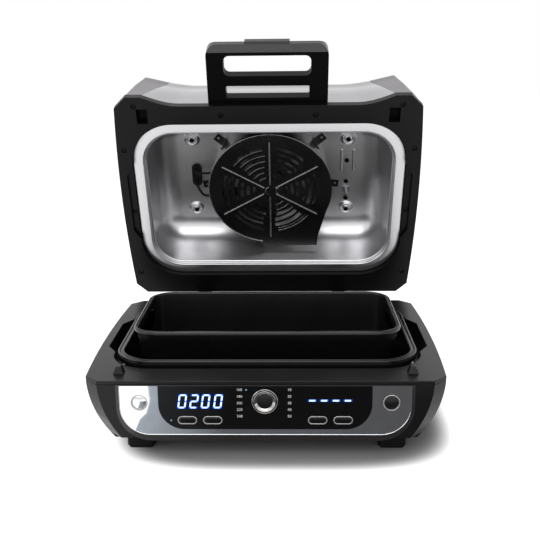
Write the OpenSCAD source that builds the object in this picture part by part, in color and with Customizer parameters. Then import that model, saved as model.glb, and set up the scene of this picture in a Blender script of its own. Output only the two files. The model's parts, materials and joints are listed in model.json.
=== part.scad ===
// Air fryer grill with a hinged lid: a base that holds a pot and a basket, and a lid that holds the fan.
// The model stands on the table with its lid open. X runs to the right, Y to the rear, Z up.

/* [Body] */
// Width across the bowed sides
body_w = 430; // [416:1:450]
// Depth from the front face to the rear face
body_d = 327; // [320:1:340]
// Height of the deck above the table
deck_z = 97; // [96:0.5:104]
// How far each side bows out past its corners
side_bow = 5; // [3:0.5:7]
// Corner cut, along X and along Y
corner_cut = 16; // [12:1:20]
// Radius of the curve that tucks the sides in under the deck
tuck_r = 110; // [100:1:130]
// Height of the underside above the table
floor_z = 20; // [17:0.5:21]
// Height of the housing's lower front edge above the table
edge_z = 26.5; // [25.5:0.5:28]
// How far the plinth under that edge is set back
plinth_in = 16; // [14:0.5:17]
// Wall thickness of the moulded shells
wall = 2.6; // [2:0.1:3.2]
// Width of the opening in the floor
hatch_w = 270; // [240:5:280]
// Depth of the opening in the floor
hatch_d = 200; // [170:5:210]
// Thickness of the bottom plate
plate_t = 1.6; // [1:0.2:2.2]
// Width of a rubber foot
foot_w = 33; // [26:1:38]
// Length of a rubber foot
foot_l = 40; // [30:1:46]
// Distance of a foot's middle from the middle plane
foot_x = 151; // [140:1:155]
// Distance of a foot's middle from the middle, front to rear
foot_y = 117; // [110:1:120]

/* [Deck] */
// Thickness of the deck plate
deck_t = 4.5; // [3.5:0.5:6]
// Width of the deck beside the opening for the pot
deck_side = 24; // [22:0.5:30]
// Width of the deck in front of and behind that opening
deck_front = 40.5; // [38:0.5:44]
// Corner radius of the opening
well_r = 54; // [46:1:60]
// Depth of the skirt that hangs from the deck, measured from its top
skirt_h = 30; // [26:1:34]
// Width of the deck that is left beside a finger pocket
deck_rim = 11.5; // [11:0.5:14]
// Length of a finger pocket along its outer wall
pocket_l = 92; // [80:1:100]
// Slope of each pocket end, along Y
pocket_splay = 22; // [14:1:26]
// Distance of the pockets' middle behind the middle of the base
pocket_y = 3; // [0:1:6]
// Width of an interlock peg
peg_w = 12; // [9:0.5:12.5]
// Length of an interlock peg
peg_l = 13; // [10:0.5:14]
// Height of an interlock peg
peg_h = 9; // [7:0.5:10]
// Distance of a peg's middle from the corner tip
peg_side = 37.5; // [34:0.5:44]
// Distance of a peg's middle from the front face
peg_front = 26.5; // [24.5:0.5:28.5]

/* [Control panel] */
// Half of the bezel's width
bezel_x = 172; // [166:1:174]
// Height of the bezel's lower edge
bezel_z = 23.5; // [23:0.5:26]
// Radius of the bezel's lower corners
bezel_r = 40; // [30:1:46]
// Width of the bezel's rim at the sides
bezel_rim = 3; // [2:0.5:5]
// Height of the bezel's chin
chin_h = 6.5; // [4:0.5:9]
// Depth of the bezel's tray behind the front face
tray_d = 4.6; // [4:0.2:6]
// How far the bezel stands out of the front face
bezel_proud = 1; // [0.4:0.2:2]
// Thickness of the chrome fascia and of the display panel
fascia_t = 2.2; // [1.6:0.2:3]
// Half of the display panel's width
panel_x = 123.3; // [118:0.1:128]
// Height of the display panel's lower edge
panel_z = 37.6; // [35:0.2:40]
// Radius of the display panel's lower corners
panel_r = 30; // [20:1:36]
// Height of the knob's axis
knob_z = 74; // [72:0.5:76]
// Radius of the knob
knob_r = 15; // [12:0.5:16]
// How far the knob stands out
knob_l = 5; // [4.5:0.5:8]
// Radius of the knob's shaft
knob_shaft_r = 3; // [2.5:0.1:3.5]
// Length of a pill button with its ring
pill_l = 22.5; // [18:0.5:24]
// Height of a pill button with its ring
pill_h = 10; // [8:0.5:11]
// Height of the pill buttons' row
pill_z = 48.8; // [47:0.2:51]
// Distance of the outer pill buttons from the middle
pill_outer_x = 90.2; // [88:0.2:92]
// Distance of the inner pill buttons from the middle
pill_inner_x = 60.7; // [59:0.2:62]
// Radius of a round button with its ring
round_r = 9.8; // [8:0.2:11]
// Distance of the round buttons from the middle
round_x = 145.5; // [143:0.5:148]
// Height of the round buttons
round_z = 70.4; // [67:0.2:73]
// Width of the metal ring round a button
ring_w = 1.4; // [1:0.1:2]
// How far a button travels when it is pressed
press = 1; // [0.6:0.1:1.2]
// Distance of the display board behind the front face
board_y = 16; // [14:0.5:18]
// Thickness of a circuit board
board_t = 1.6; // [1.2:0.2:2]

/* [Pots] */
// Gap between the pot's rim and the deck opening
rim_gap = 5; // [4:0.5:7]
// Height of the pot's rim above the deck
rim_rise = 7; // [5:0.5:7.5]
// Height of the pot's floor above the table
pot_z = 48; // [46:0.5:52]
// Sheet thickness of the pot and the basket
pot_t = 1.6; // [1.2:0.1:2]
// Width of the pot's rim
pot_rim = 8.4; // [7:0.2:10]
// Distance from the pot's rim to the basket's rim, at the ends
basket_side = 18; // [15:0.5:26]
// Distance from the pot's rim to the basket's rim, at the front
basket_front = 32; // [24:1:40]
// Distance from the pot's rim to the basket's rim, at the rear
basket_rear = 20; // [18:1:40]
// Corner radius of the basket
basket_r = 34; // [28:1:40]
// Height of the basket's rim above the table
basket_rim_z = 130; // [126:0.5:131]
// Height of the basket's floor above the pot's floor
basket_lift = 12; // [9:0.5:14]
// Length of a hand hold in the basket's end wall
hold_l = 116; // [100:1:120]
// Height of a hand hold
hold_h = 22; // [18:1:24]
// Distance of a hand hold's middle below the basket's rim
hold_drop = 22; // [20:0.5:26]

/* [Lid] */
// Gap between the closed lid and the deck
lid_gap = 2.3; // [1.6:0.1:3]
// Angle by which the lid stands open
open_angle = 69; // [60:1:72]
// Thickness of the lid's frame
frame_t = 10; // [9.4:0.2:12]
// Depth of the scoop in the lid's front edge
scoop = 13.5; // [9:0.5:16]
// How far the front of the lid falls back from its corners to the seams, at the shoulder
ear_fall = 9.5; // [6:0.5:11]
// Height of the lid's upright faces
shoulder_h = 100; // [96:1:106]
// Height of the lid
lid_h = 150; // [147:1:158]
// Thickness of the lid's cover
cover_t = 2.2; // [1.6:0.1:3]
// Width of the frame beside the steel liner
frame_side = 22; // [20.5:0.5:26]
// Width of the frame in front of the steel liner
frame_front = 41.8; // [40.5:0.1:46]
// Width of the frame behind the steel liner
frame_rear = 33.7; // [33:0.1:38]
// Corner radius of the liner's flange
liner_r = 60; // [54:1:64]
// Sheet thickness of the liner
liner_t = 1.2; // [0.8:0.1:1.5]
// Width of the liner's flange
flange_w = 15; // [13:0.5:16]
// Height of the flange inside the frame
flange_h = 6.5; // [6:0.1:7]
// Height of the liner's ceiling
ceiling_h = 83; // [81:0.5:86]
// Radius between the liner's wall and its ceiling
liner_fillet = 28; // [20:1:32]
// Distance of the liner's dimples beyond the guard's edge, along X
dimple_side = 25; // [22:1:30]
// Distance of the dimples from the middle, front to rear
dimple_y = 60; // [55:1:64]

/* [Fan] */
// Distance of the fan's axis behind the middle
fan_y = 2; // [0:0.5:3]
// Distance of the guard from the outer edge of the liner's flange
guard_side = 33.75; // [32:0.25:39]
// Height of the guard above the lid's lower face
guard_h = 36; // [35:0.5:38]
// Sheet thickness of the guard
guard_t = 1.4; // [1:0.1:1.8]
// Distance of the fan's tips from the guard's edge
fan_side = 30; // [28:0.5:36]
// Number of fan blades
blades = 16; // [12:1:20]
// Depth of the fan's blades
blade_h = 13; // [10:0.5:14]
// Radius of the motor's shaft
shaft_r = 4; // [3:0.1:5]
// Radius of the motor
motor_r = 30; // [26:1:33]
// Height of the motor
motor_h = 29; // [25:1:31]
// Radius of the heater's tube
tube_r = 3.3; // [2.8:0.1:3.8]
// Distance of the heater's loop from the guard's edge
coil_side = 16; // [14:0.5:18]

/* [Handle] */
// Width of the handle
handle_w = 163; // [150:1:172]
// Reach of the handle in front of the base
handle_reach = 66.5; // [60:0.5:72]
// Thickness of the handle's frame
handle_t = 16.5; // [14:0.5:18]
// Width of the finger slot
slot_w = 117; // [105:1:122]
// Depth of the finger slot
slot_d = 28; // [25:0.5:30]
// Depth of the grip bar
grip_d = 13.5; // [11:0.5:16]
// How far the grip stands above the handle's frame
grip_rise = 5.5; // [4:0.5:8]

/* [Hinge] */
// Distance of the hinge's axis behind the rear face
hinge_out = 21; // [20:0.5:24]
// Height of the hinge's axis above the table
hinge_z = 68.2; // [66:0.1:71]
// Radius of a hinge pin
pin_r = 4; // [3:0.1:4.5]
// Wall of a hinge bush
bush_t = 1.5; // [1:0.1:2]
// Radius of a hinge arm's barrel
barrel_r = 11; // [9.5:0.5:11.5]
// Width of a hinge arm
arm_w = 20; // [16:1:24]
// Distance of a hinge arm's middle from the middle plane
arm_x = 105; // [95:1:115]
// Thickness of a bracket's lug
lug_t = 6.5; // [5:0.5:8]

/* [Clearances] */
// Gap at a running fit
run_gap = 0.05; // [0.02:0.01:0.08]
// Gap beside a sliding or turning piece
slide_gap = 0.3; // [0.2:0.05:0.4]
// Gap under a piece that only rests on its seat
seat_gap = 0.2; // [0.1:0.05:0.3]

/* [Hidden] */
$fn = 64;

half_w = body_w / 2;
half_d = body_d / 2;
well_w = body_w - 2 * deck_side;
well_d = body_d - 2 * deck_front;
seam_z = deck_z - deck_t;
floor_top = floor_z + wall;
// The sides are arcs of one large circle, so their bow follows from its radius
bow_y = half_d - corner_cut;
bow_r = (bow_y * bow_y + side_bow * side_bow) / (2 * side_bow);
bow_fn = 720;
bow_angle = asin((half_d + 10) / (bow_r - body_w));
tip_x = half_w - side_bow;
ear_x = tip_x - corner_cut;
peg_x = tip_x - peg_side;
peg_y = half_d - peg_front;
cut_half = (tip_x + bow_y) / sqrt(2);
tuck_depth = deck_z - floor_z;
tuck_in = tuck_r - sqrt(tuck_r * tuck_r - tuck_depth * tuck_depth);
cut_in = tuck_in / sqrt(2);
cut_r = (tuck_depth * tuck_depth + cut_in * cut_in) / (2 * cut_in);
far = 2 * body_w;
eps = 0.01;

screw_r = 1.7;
head_r = 3.6;
head_h = 2.4;
boss_r = 5;
boss_x = tip_x - 43;
boss_y = half_d - 22;

// Front panel, from the front face backwards
front_y = -half_d;
tray_back = front_y + tray_d;
fascia_back = front_y + tray_d - wall;
fascia_front = fascia_back - fascia_t;
board_front = front_y + board_y;
fascia_z = bezel_z + chin_h;
fascia_x = bezel_x - bezel_rim;
fascia_r = bezel_r - bezel_rim - 2;
pill_places = [-pill_outer_x, -pill_inner_x, pill_inner_x, pill_outer_x];
cap_proud = 0.8;
encoder_l = 7;
switch_gap = press + slide_gap;

// Well, pot and basket
well_floor = 30;
well_t = 0.8;
well_inset = 3;
well_lap = 5;
pot_hx = well_w / 2 - rim_gap;
pot_hy = well_d / 2 - rim_gap;
pot_corner = well_r - rim_gap;
rim_z = deck_z + rim_rise;
basket_w = 2 * (pot_hx - basket_side);
basket_d = 2 * pot_hy - basket_front - basket_rear;
basket_y = (basket_front - basket_rear) / 2;
lip_h = 9;
pot_fillet = 14;
basket_floor = pot_z + pot_t + basket_lift;
support_top = pot_z - seat_gap;

// Lid, in its closed place: h is measured up from its lower face
lid_z = deck_z + lid_gap;
hinge_y = half_d + hinge_out;
hinge_h = hinge_z - lid_z;
flange_top = flange_h + liner_t;
frame_open = 1.2;
ledge_w = 8;
liner_w = body_w - 2 * frame_side;
liner_d = body_d - frame_front - frame_rear;
liner_y = (frame_front - frame_rear) / 2;
liner_hx = liner_w / 2;
liner_hy = liner_d / 2;
step_h = 4;
step_w = 3;
wall_draft = 4;
liner_top = ceiling_h + liner_t;
wall_in = flange_w + step_w;
fillet_in = wall_in + wall_draft + liner_fillet;
fillet_h = ceiling_h - liner_fillet;
cover_in = 0.6;
side_draft = 12;
front_draft = 14.5;
rear_draft = 9;
crease = 1.2;
crease_h = 60;
crease_fall = ear_fall * (crease_h - frame_t) / (shoulder_h - frame_t);
scoop_steps = 8;
bow_steps = 6;
shoulder_steps = 7;
seam_x = ear_x - 21;
seam_slope = 0.26;
peg_room = 1.5;
keyhole_w = peg_w + 2 * peg_room;
keyhole_l = peg_l + 8.5;
keyhole_shift = 1.75;
keyhole_y = keyhole_shift - peg_y;

// Fan, motor and heater
hub_r = 9;
guard_r = liner_hy - guard_side;
dimple_x = guard_r + dimple_side;
fan_r = guard_r - fan_side;
coil_r = guard_r - coil_side;
scroll_r = guard_r - 3;
scroll_t = 1.2;
outlet_x0 = -14;
outlet_x1 = 71;
outlet_y = fan_y + guard_r + 6.5;
fan_low = ceiling_h - 8 - blade_h;
coil_h = guard_h + 8;
bracket_h = liner_top + 15;
bracket_t = 1.6;
motor_low = bracket_h + bracket_t;
cool_low = motor_low + motor_h + 3;
cool_h = 5;
cool_r = motor_r + 4;

// Handle
handle_low = frame_t;
root_y = -half_d + scoop + cover_in;
root_slope = (front_draft / 2 - crease - cover_in) / (crease_h - frame_t);
handle_tip = -half_d - handle_reach;
slot_tip = handle_tip + grip_d;
bar_tip = handle_tip + 9;
handle_top = handle_low + handle_t;
grip_top = handle_top + grip_rise;
grip_low = handle_low + 10;
low_slot_d = 17;
low_slot_w = slot_w - 4;

// Small fixed sizes of the base
fit_gap = 0.15;
boss_sink = 6;
rail_x = 60;
rail_w = 8;
rail_t = 2;
rail_h = 8;
rail_room = 2.5;
rail_mid = -well_d / 2 - well_lap - rail_room;
power_w = 200;
power_h = 52;
relay_t = 9;
relay_l = 28;
relay_h = 20;
relay_pitch = 50;
relay_z = 18;
capacitor_r = 8;
gland_side = 60;
gland_x = gland_side - tip_x;
gland_z = 45;
gland_r = 7;
gland_bore = 3.6;
vent_pitch = 34;
vent_w = 5;
tread_h = 3;
tray_lap = 3;
post_x = 122;
post_r = 3;
fascia_top = seam_z - 1.2;
board_x = 158;
board_low = edge_z + wall + 1.5;
display_x = 74.8;
display_w = 58;
display_h = 22;
display_z = 62;
display_t = 8;
encoder_w = 13;
ring_proud = 0.5;
flange_t = 1.2;
button_back = tray_back + seat_gap + flange_t;
knob_back = fascia_front - 0.5;
knob_ring_r = 12.6;
knob_cap_r = 9;
ring_d = 2;
shaft_l = board_front - knob_back - 1;
loop_r = 50;
loop_x = 90;
leg_x = 118;
loop_rise = 9;
loop_z = well_floor + loop_rise;
saddle_w = 8;
saddle_l = 10;
lead_r = tube_r - 0.4;
lead_gap = 1;
stud_x = 140;
stud_y = 72;
rim_out = 4;
basket_draft = 4;
lug_low = 18;
lug_r = barrel_r - 1;
root_t = 3;
side_play = 0.5;
lug_span = arm_w + 2 * side_play + 2 * lug_t;

// Small fixed sizes of the lid
recess_h = 5;
frame_sink = 3;
side_run = 98;
front_run = 115;
rear_run = 65;
crown_scoop = 4;
scoop_flat = 0.7;
grille_n = 9;
grille_pitch = 7;
grille_w = 3.5;
grille_l = 26;
grille_h = 58;
dimple_d = 4;
bead_y = -5;
bead_l = 36;
bead_r = 2;
bead_x = 9;
probe_y = 27;
probe_l = 16;
probe_r = 1.8;
probe_w = 12;
probe_d = 10;
ceiling_screw_ys = [-23, 13, 42];
switch_h = 12;
switch_lap = 1;
notch_in = 30;
coil_ends = [-160, 160];
hanger_angles = [-120, 0, 45];
grommet_side = 21;
grommet_x = guard_r + grommet_side;
grommet_t = 3;
grommet_l = 38;
grommet_w = 15;
wire_r = 2;
guard_rim = 5;
slot_first = 24;
slot_pitch = 9;
slot_margin = 22;
slot_h = 4.8;
rib_turn = 90;
rib_w = 2.6;
rib_h = 1.8;
clip_w = 12;
clip_l = 16;
clip_t = 1.6;
front_clip = asin((liner_hy - liner_y - fillet_in - clip_w / 2 - 1 + fan_y) / (scroll_r + clip_l));
side_clip = 8;
clip_angles = [front_clip - 180, -front_clip, side_clip, 180 - side_clip];
bridge_w = 120;
bridge_d = 78;
bridge_in = 8;
handle_corner = 14;
thumb_w = 60;
thumb_h = 4;
thumb_out = 2.5;
arm_t = 6;
foot_reach = 32;
heel_gap = 2.5;
nose_h = 8;
// Routes of the wires, from the grommet's face
wire_routes = [
    [[0, -10, 0], [0, -10, -4], [1, -10, -9], [5, -10, -13], [11, -11, -14], [24.4, -11, -14]],
    [[0, 9, 0], [0, 9, -4], [1, 12, -10], [5, 18, -15], [12, 25, -18], [26.4, 26, -18]]];

function rail_y(s) = rail_mid + (s > 0 ? board_t / 2 + fit_gap : -board_t / 2 - fit_gap - rail_t);
function post_z(i) = i == 0 ? pill_z - 5 : seam_z - 8.5;

// Rounded rectangle about the origin
module rounded(w, d, r) {
    square([w - 2 * r, d], center = true);
    square([w, d - 2 * r], center = true);
    for (x = [-1, 1], y = [-1, 1]) translate([x * (w / 2 - r), y * (d / 2 - r)]) circle(r);
}

// Slot with round ends along X
module pill(l, h) {
    square([l - h, h], center = true);
    for (s = [-1, 1]) translate([s * (l - h) / 2, 0]) circle(d = h);
}

// Panel with round lower corners and a straight top edge
module shield(hx, low, top, r) {
    intersection() {
        translate([-hx, low]) square([2 * hx, top - low]);
        union() {
            translate([-hx, low + r]) square([2 * hx, top - low]);
            translate([r - hx, low]) square([2 * (hx - r), top - low]);
            for (s = [-1, 1]) translate([s * (hx - r), low + r]) circle(r);
        }
    }
}

// Outline on the front face, from y0 back to y1
module front(y0, y1) translate([0, y1, 0]) rotate([90, 0, 0]) linear_extrude(y1 - y0) children();

// Profile in Y and Z, extruded along X about x
module across(x, w) translate([x - w / 2, 0, 0]) rotate([90, 0, 90]) linear_extrude(w) children();

// Plan of the base and of the lid: bowed sides and cut corners
module plan(in = 0) {
    intersection() {
        square([body_w - 2 * in, body_d - 2 * in], center = true);
        translate([half_w - bow_r, 0]) circle(bow_r - in, $fn = bow_fn);
        translate([bow_r - half_w, 0]) circle(bow_r - in, $fn = bow_fn);
        rotate(45) square(2 * (cut_half - in), center = true);
    }
}

// Bowed side that tucks in towards the floor, as a solid that reaches past the other side
module side_sweep(in, low, top) {
    translate([half_w - bow_r, 0, 0]) rotate(-bow_angle)
        rotate_extrude(angle = 2 * bow_angle, $fn = bow_fn) intersection() {
            translate([bow_r - body_w - 5, low]) square([body_w + 10, top - low]);
            union() {
                translate([bow_r - body_w - 5, 0]) square([body_w + 5 - tuck_r, deck_z]);
                translate([bow_r - tuck_r, deck_z]) circle(tuck_r - in, $fn = 180);
            }
        }
}

// Pair of opposite corner cuts that tuck in like the sides
module cut_sweep(in, low, top) {
    rotate([90, 0, 0]) linear_extrude(far, center = true) intersection() {
        translate([-body_w, low]) square([2 * body_w, top - low]);
        union() {
            translate([cut_r - cut_half, 0]) square([2 * (cut_half - cut_r), deck_z]);
            for (s = [-1, 1]) translate([s * (cut_half - cut_r), deck_z]) circle(cut_r - in, $fn = 180);
        }
    }
}

// Outer form of the housing, or its inside when drawn in by the wall, with a plinth under its front edge
module base_form(in, low, top) {
    edge = edge_z + in;
    intersection() {
        side_sweep(in, low, top);
        mirror([1, 0, 0]) side_sweep(in, low, top);
        union() {
            translate([-body_w, in - half_d, edge]) cube([2 * body_w, body_d - 2 * in, top - edge]);
            translate([-body_w, in + plinth_in - half_d, low])
                cube([2 * body_w, body_d - plinth_in - 2 * in, top - low]);
        }
        rotate(45) cut_sweep(in, low, top);
        rotate(-45) cut_sweep(in, low, top);
    }
}

// Finger pocket beside the pot, grown by g
module pocket(g) {
    x0 = well_w / 2 - 20;
    x1 = half_w - deck_rim + g;
    y1 = pocket_l / 2 + g;
    y0 = y1 + pocket_splay;
    translate([0, pocket_y]) polygon([[x0, -y0], [well_w / 2 + g, -y0], [x1, -y1],
        [x1, y1], [well_w / 2 + g, y0], [x0, y0]]);
}

// Opening in the deck with its two pockets, grown by g
module deck_opening(g) {
    rounded(well_w + 2 * g, well_d + 2 * g, well_r + g);
    pocket(g);
    mirror([1, 0]) pocket(g);
}

// Points of a rounded rectangle at height z, anticlockwise
function ring(hx, hy, r, z, n = 6) = [for (q = [0:3], i = [0:n])
    let (a = 90 * q + 90 * i / n, sx = q == 0 || q == 3 ? 1 : -1, sy = q < 2 ? 1 : -1)
    [sx * (hx - r) + r * cos(a), sy * (hy - r) + r * sin(a), z]];

// Rings of a drawn sheet: each entry of the path is how far the ring is drawn in, and its height
function drawn(hx, hy, r, path) = [for (p = path) ring(hx - p[0], hy - p[0], max(r - p[0], 3), p[1])];

// Quarter round of a path about a centre, from angle a0 to a1, where angle 0 points away from the floor
function bend(c, r, a0, a1, n = 4) = [for (i = [0:n])
    let (a = a0 + (a1 - a0) * i / n) [c[0] - r * sin(a), c[1] - r * cos(a)]];

// Solid through a list of rings that have the same number of points
module loft(rings) {
    m = len(rings[0]);
    k = len(rings);
    sides = [for (i = [0:k - 2], j = [0:m - 1])
        let (a = i * m + j, b = i * m + (j + 1) % m)
        each [[a, a + m, b + m], [a, b + m, b]]];
    low_cap = [for (j = [0:m - 1]) j];
    high_cap = [for (j = [m - 1:-1:0]) (k - 1) * m + j];
    polyhedron([for (s = rings) each s], concat(sides, [low_cap, high_cap]), convexity = 6);
}

// Screw with its head up at the origin
module screw(l) {
    translate([0, 0, -head_h]) cylinder(r = head_r, h = head_h);
    translate([0, 0, -head_h - l]) cylinder(r = screw_r, h = l + eps);
}

// Lid pieces are drawn closed with h up from the lid's lower face, and turned open about the hinge
module open_lid() {
    translate([0, hinge_y, hinge_z]) rotate([-open_angle, 0, 0]) translate([0, -hinge_y, -hinge_h]) children();
}

// Moulded tub of the base, open at the top, with a hatch in its floor
module lower_housing() {
    color("#3a3a3c") difference() {
        union() {
            difference() {
                base_form(0, floor_z, seam_z);
                base_form(wall, floor_top, seam_z + 1);
            }
            for (x = [-1, 1], y = [-1, 1]) translate([x * boss_x, y * boss_y, floor_z])
                cylinder(r = boss_r, h = seam_z - floor_z);
            for (x = [-1, 1], y = [-1, 1]) translate([x * rail_x - rail_w / 2, rail_y(y), floor_z + eps])
                cube([rail_w, rail_t, wall + rail_h]);
        }
        translate([-hatch_w / 2, -hatch_d / 2, floor_z - 1]) cube([hatch_w, hatch_d, wall + 2]);
        front(front_y - 1, front_y + wall + eps)
            shield(bezel_x + fit_gap, bezel_z - fit_gap, seam_z + 1, bezel_r + fit_gap);
        front(front_y + wall, tray_back + fit_gap)
            shield(bezel_x + tray_lap + fit_gap, bezel_z - fit_gap, edge_z + wall + fit_gap,
                bezel_r + tray_lap + fit_gap);
        for (x = [-1, 1], y = [-1, 1]) translate([x * boss_x, y * boss_y, floor_z - 1]) {
            cylinder(r = screw_r + fit_gap, h = seam_z);
            cylinder(r = head_r + fit_gap, h = 1 + boss_sink);
        }
        translate([gland_x, half_d + 1, gland_z]) rotate([90, 0, 0]) cylinder(r = gland_r, h = wall + 2);
    }
}

// Deck that closes the top, with a skirt round the pot and a finger pocket at each end
module base_deck() {
    color("#414143") difference() {
        union() {
            translate([0, 0, seam_z]) linear_extrude(deck_t) plan();
            translate([0, 0, deck_z - skirt_h]) linear_extrude(skirt_h - deck_t / 2) deck_opening(wall);
        }
        translate([0, 0, deck_z - skirt_h + wall]) linear_extrude(skirt_h) deck_opening(0);
        translate([0, 0, deck_z - skirt_h - 1]) linear_extrude(skirt_h) rounded(well_w, well_d, well_r);
        for (x = [-1, 1], y = [-1, 1]) translate([x * boss_x, y * boss_y, seam_z - 1])
            cylinder(r = screw_r, h = deck_t);
    }
}

// Vented steel plate that closes the hatch from inside
module bottom_plate() {
    color("silver") difference() {
        translate([0, 0, floor_top]) linear_extrude(plate_t) rounded(hatch_w + 24, hatch_d + 24, 10);
        for (x = [-3:3], y = [-1, 1]) translate([x * vent_pitch, y * hatch_d / 4, floor_top - 1])
            linear_extrude(plate_t + 2) rotate(90) pill(hatch_d / 4, vent_w);
        for (x = [-1, 1], y = [-1, 1]) translate([x * (hatch_w / 2 + 6), y * hatch_d / 4, floor_top - 1])
            cylinder(r = screw_r, h = plate_t + 2);
    }
}

// Block feet with a narrower tread
module rubber_feet() {
    color("#1b1b1c") for (x = [-1, 1], y = [-1, 1]) translate([x * foot_x, y * foot_y, 0]) {
        linear_extrude(tread_h) rounded(foot_w - 3, foot_l - 3, 5);
        translate([0, 0, tread_h]) linear_extrude(floor_z - tread_h) rounded(foot_w, foot_l, 5);
    }
}

// Screws that hold the deck, up through the housing's bosses
module bottom_screws() {
    color("dimgray") for (x = [-1, 1], y = [-1, 1])
        translate([x * boss_x, y * boss_y, floor_z + boss_sink - head_h])
            mirror([0, 0, 1]) screw(seam_z + deck_t / 2 - floor_z - boss_sink);
}

// Wedge pegs that push the lid's safety switches
module interlock_pegs() {
    slope = peg_l / 4;
    color("#39393b") for (s = [-1, 1]) intersection() {
        across(s * peg_x, peg_w) translate([-peg_y, deck_z]) polygon([[-peg_l / 2, 0], [peg_l / 2, 0],
            [peg_l / 2 - slope / 2, peg_h], [slope - peg_l / 2, peg_h]]);
        translate([s * peg_x, -peg_y + peg_l, 0]) rotate([90, 0, 0]) linear_extrude(2 * peg_l)
            polygon([[-peg_w / 2, 0], [peg_w / 2, 0], [peg_w / 2, deck_z + 1], [peg_w / 4, deck_z + peg_h],
                [-peg_w / 4, deck_z + peg_h], [-peg_w / 2, deck_z + 1]]);
    }
}

// Tray that holds the fascia, with a rim, a chin and posts for the display board
module panel_bezel() {
    color("#4a4644") difference() {
        union() {
            front(front_y - bezel_proud, tray_back) shield(bezel_x, bezel_z, seam_z, bezel_r);
            front(front_y + wall, tray_back) shield(bezel_x + tray_lap, bezel_z, seam_z, bezel_r + tray_lap);
            for (x = [-1, 1], z = [0, 1]) translate([x * post_x, board_front, post_z(z)])
                rotate([90, 0, 0]) cylinder(r = post_r, h = board_front - tray_back + eps);
        }
        front(front_y - bezel_proud - 1, fascia_back) shield(fascia_x, fascia_z, fascia_top, fascia_r);
        front(front_y, tray_back + 1) button_holes(ring_w, knob_shaft_r + 1);
    }
}

// Holes for the six buttons, drawn in by d, and for the knob's shaft
module button_holes(d, shaft) {
    for (x = pill_places) translate([x, pill_z]) pill(pill_l - 2 * d, pill_h - 2 * d);
    for (s = [-1, 1]) translate([s * round_x, round_z]) circle(round_r - d);
    translate([0, knob_z]) circle(shaft);
}

// Mirror plate that surrounds the display on three sides
module chrome_fascia() {
    color("#d8dadd") difference() {
        front(fascia_front, fascia_back)
            shield(fascia_x - fit_gap, fascia_z + fit_gap, fascia_top - fit_gap, fascia_r);
        front(fascia_front - 1, fascia_back + 1)
            shield(panel_x + fit_gap, panel_z - fit_gap, fascia_top + 1, panel_r + fit_gap);
        front(fascia_front - 1, fascia_back + 1) button_holes(-fit_gap, knob_shaft_r);
    }
}

// Gloss panel over the displays
module display_panel() {
    color("#0b0b0d") difference() {
        front(fascia_front - fit_gap, fascia_back) shield(panel_x, panel_z, fascia_top - fit_gap, panel_r);
        front(fascia_front - 1, fascia_back + 1) button_holes(-fit_gap, knob_shaft_r + 1);
    }
}

// Board with the two displays, the encoder and a switch behind each button
module display_board() {
    color("#1f5b3a") difference() {
        union() {
            translate([-board_x, board_front, board_low]) cube([2 * board_x, board_t, seam_z - 4 - board_low]);
            for (s = [-1, 1]) translate([s * display_x - display_w / 2, board_front - display_t, display_z])
                cube([display_w, display_t + eps, display_h]);
            translate([-encoder_w / 2, board_front - encoder_l, knob_z - encoder_w / 2])
                cube([encoder_w, encoder_l + eps, encoder_w]);
            for (x = pill_places) switch(x, pill_z);
            for (s = [-1, 1]) switch(s * round_x, round_z);
        }
        translate([0, board_front + board_t + 1, knob_z]) rotate([90, 0, 0])
            cylinder(r = knob_shaft_r + run_gap, h = encoder_l + board_t + 2);
    }
}

// Push switch that stands on the board behind a button
module switch(x, z) {
    translate([x, board_front + eps, z]) rotate([90, 0, 0])
        cylinder(r = 1.8, h = board_front - button_back - switch_gap);
    translate([x - 3, board_front - 2.5, z - 3]) cube([6, 2.5 + eps, 6]);
}

// Mains board that stands in the housing's rails behind the display
module power_board() {
    y = rail_mid - board_t / 2;
    color("#2c6b45") {
        translate([-power_w / 2, y, floor_top]) cube([power_w, board_t, power_h]);
        for (i = [0:2])
            translate([relay_h - power_w / 2 + relay_pitch * i, y - relay_t, floor_top + relay_z])
                cube([relay_l, relay_t + eps, relay_h]);
        translate([power_w / 2 - 4 * capacitor_r, y, floor_top + relay_h]) rotate([90, 0, 0])
            cylinder(r = capacitor_r, h = relay_t + 2);
    }
}

// Bright rings round the pill buttons
module pill_button_rings() {
    color("#c9c9cc") for (x = pill_places) front(fascia_front - ring_proud, fascia_back) translate([x, pill_z])
        difference() {
            pill(pill_l, pill_h);
            pill(pill_l - 2 * ring_w, pill_h - 2 * ring_w);
        }
}

// Bright rings round the round buttons
module round_button_rings() {
    color("#d8d8da") for (s = [-1, 1]) front(fascia_front - ring_proud, fascia_back)
        translate([s * round_x, round_z]) difference() {
            circle(round_r);
            circle(round_r - ring_w);
        }
}

// Pill button number i with the flange that keeps it in the tray
module pill_button(i) {
    color("#2a2a2c") translate([pill_places[i], 0, pill_z]) {
        front(fascia_front - cap_proud, button_back - flange_t + eps)
            pill(pill_l - 2 * ring_w - 2 * slide_gap, pill_h - 2 * ring_w - 2 * slide_gap);
        front(button_back - flange_t, button_back) pill(pill_l, pill_h);
    }
}

// Round button at x with the flange that keeps it in the tray
module round_button(x) {
    translate([x, 0, round_z]) {
        front(fascia_front - cap_proud, button_back - flange_t + eps) circle(round_r - ring_w - slide_gap);
        front(button_back - flange_t, button_back) circle(round_r);
    }
}

module pill_button_1() pill_button(0);
module pill_button_2() pill_button(1);
module pill_button_3() pill_button(2);
module pill_button_4() pill_button(3);
module power_button() color("#d0d0d3") round_button(-round_x);
module start_button() color("#161618") round_button(round_x);

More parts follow.
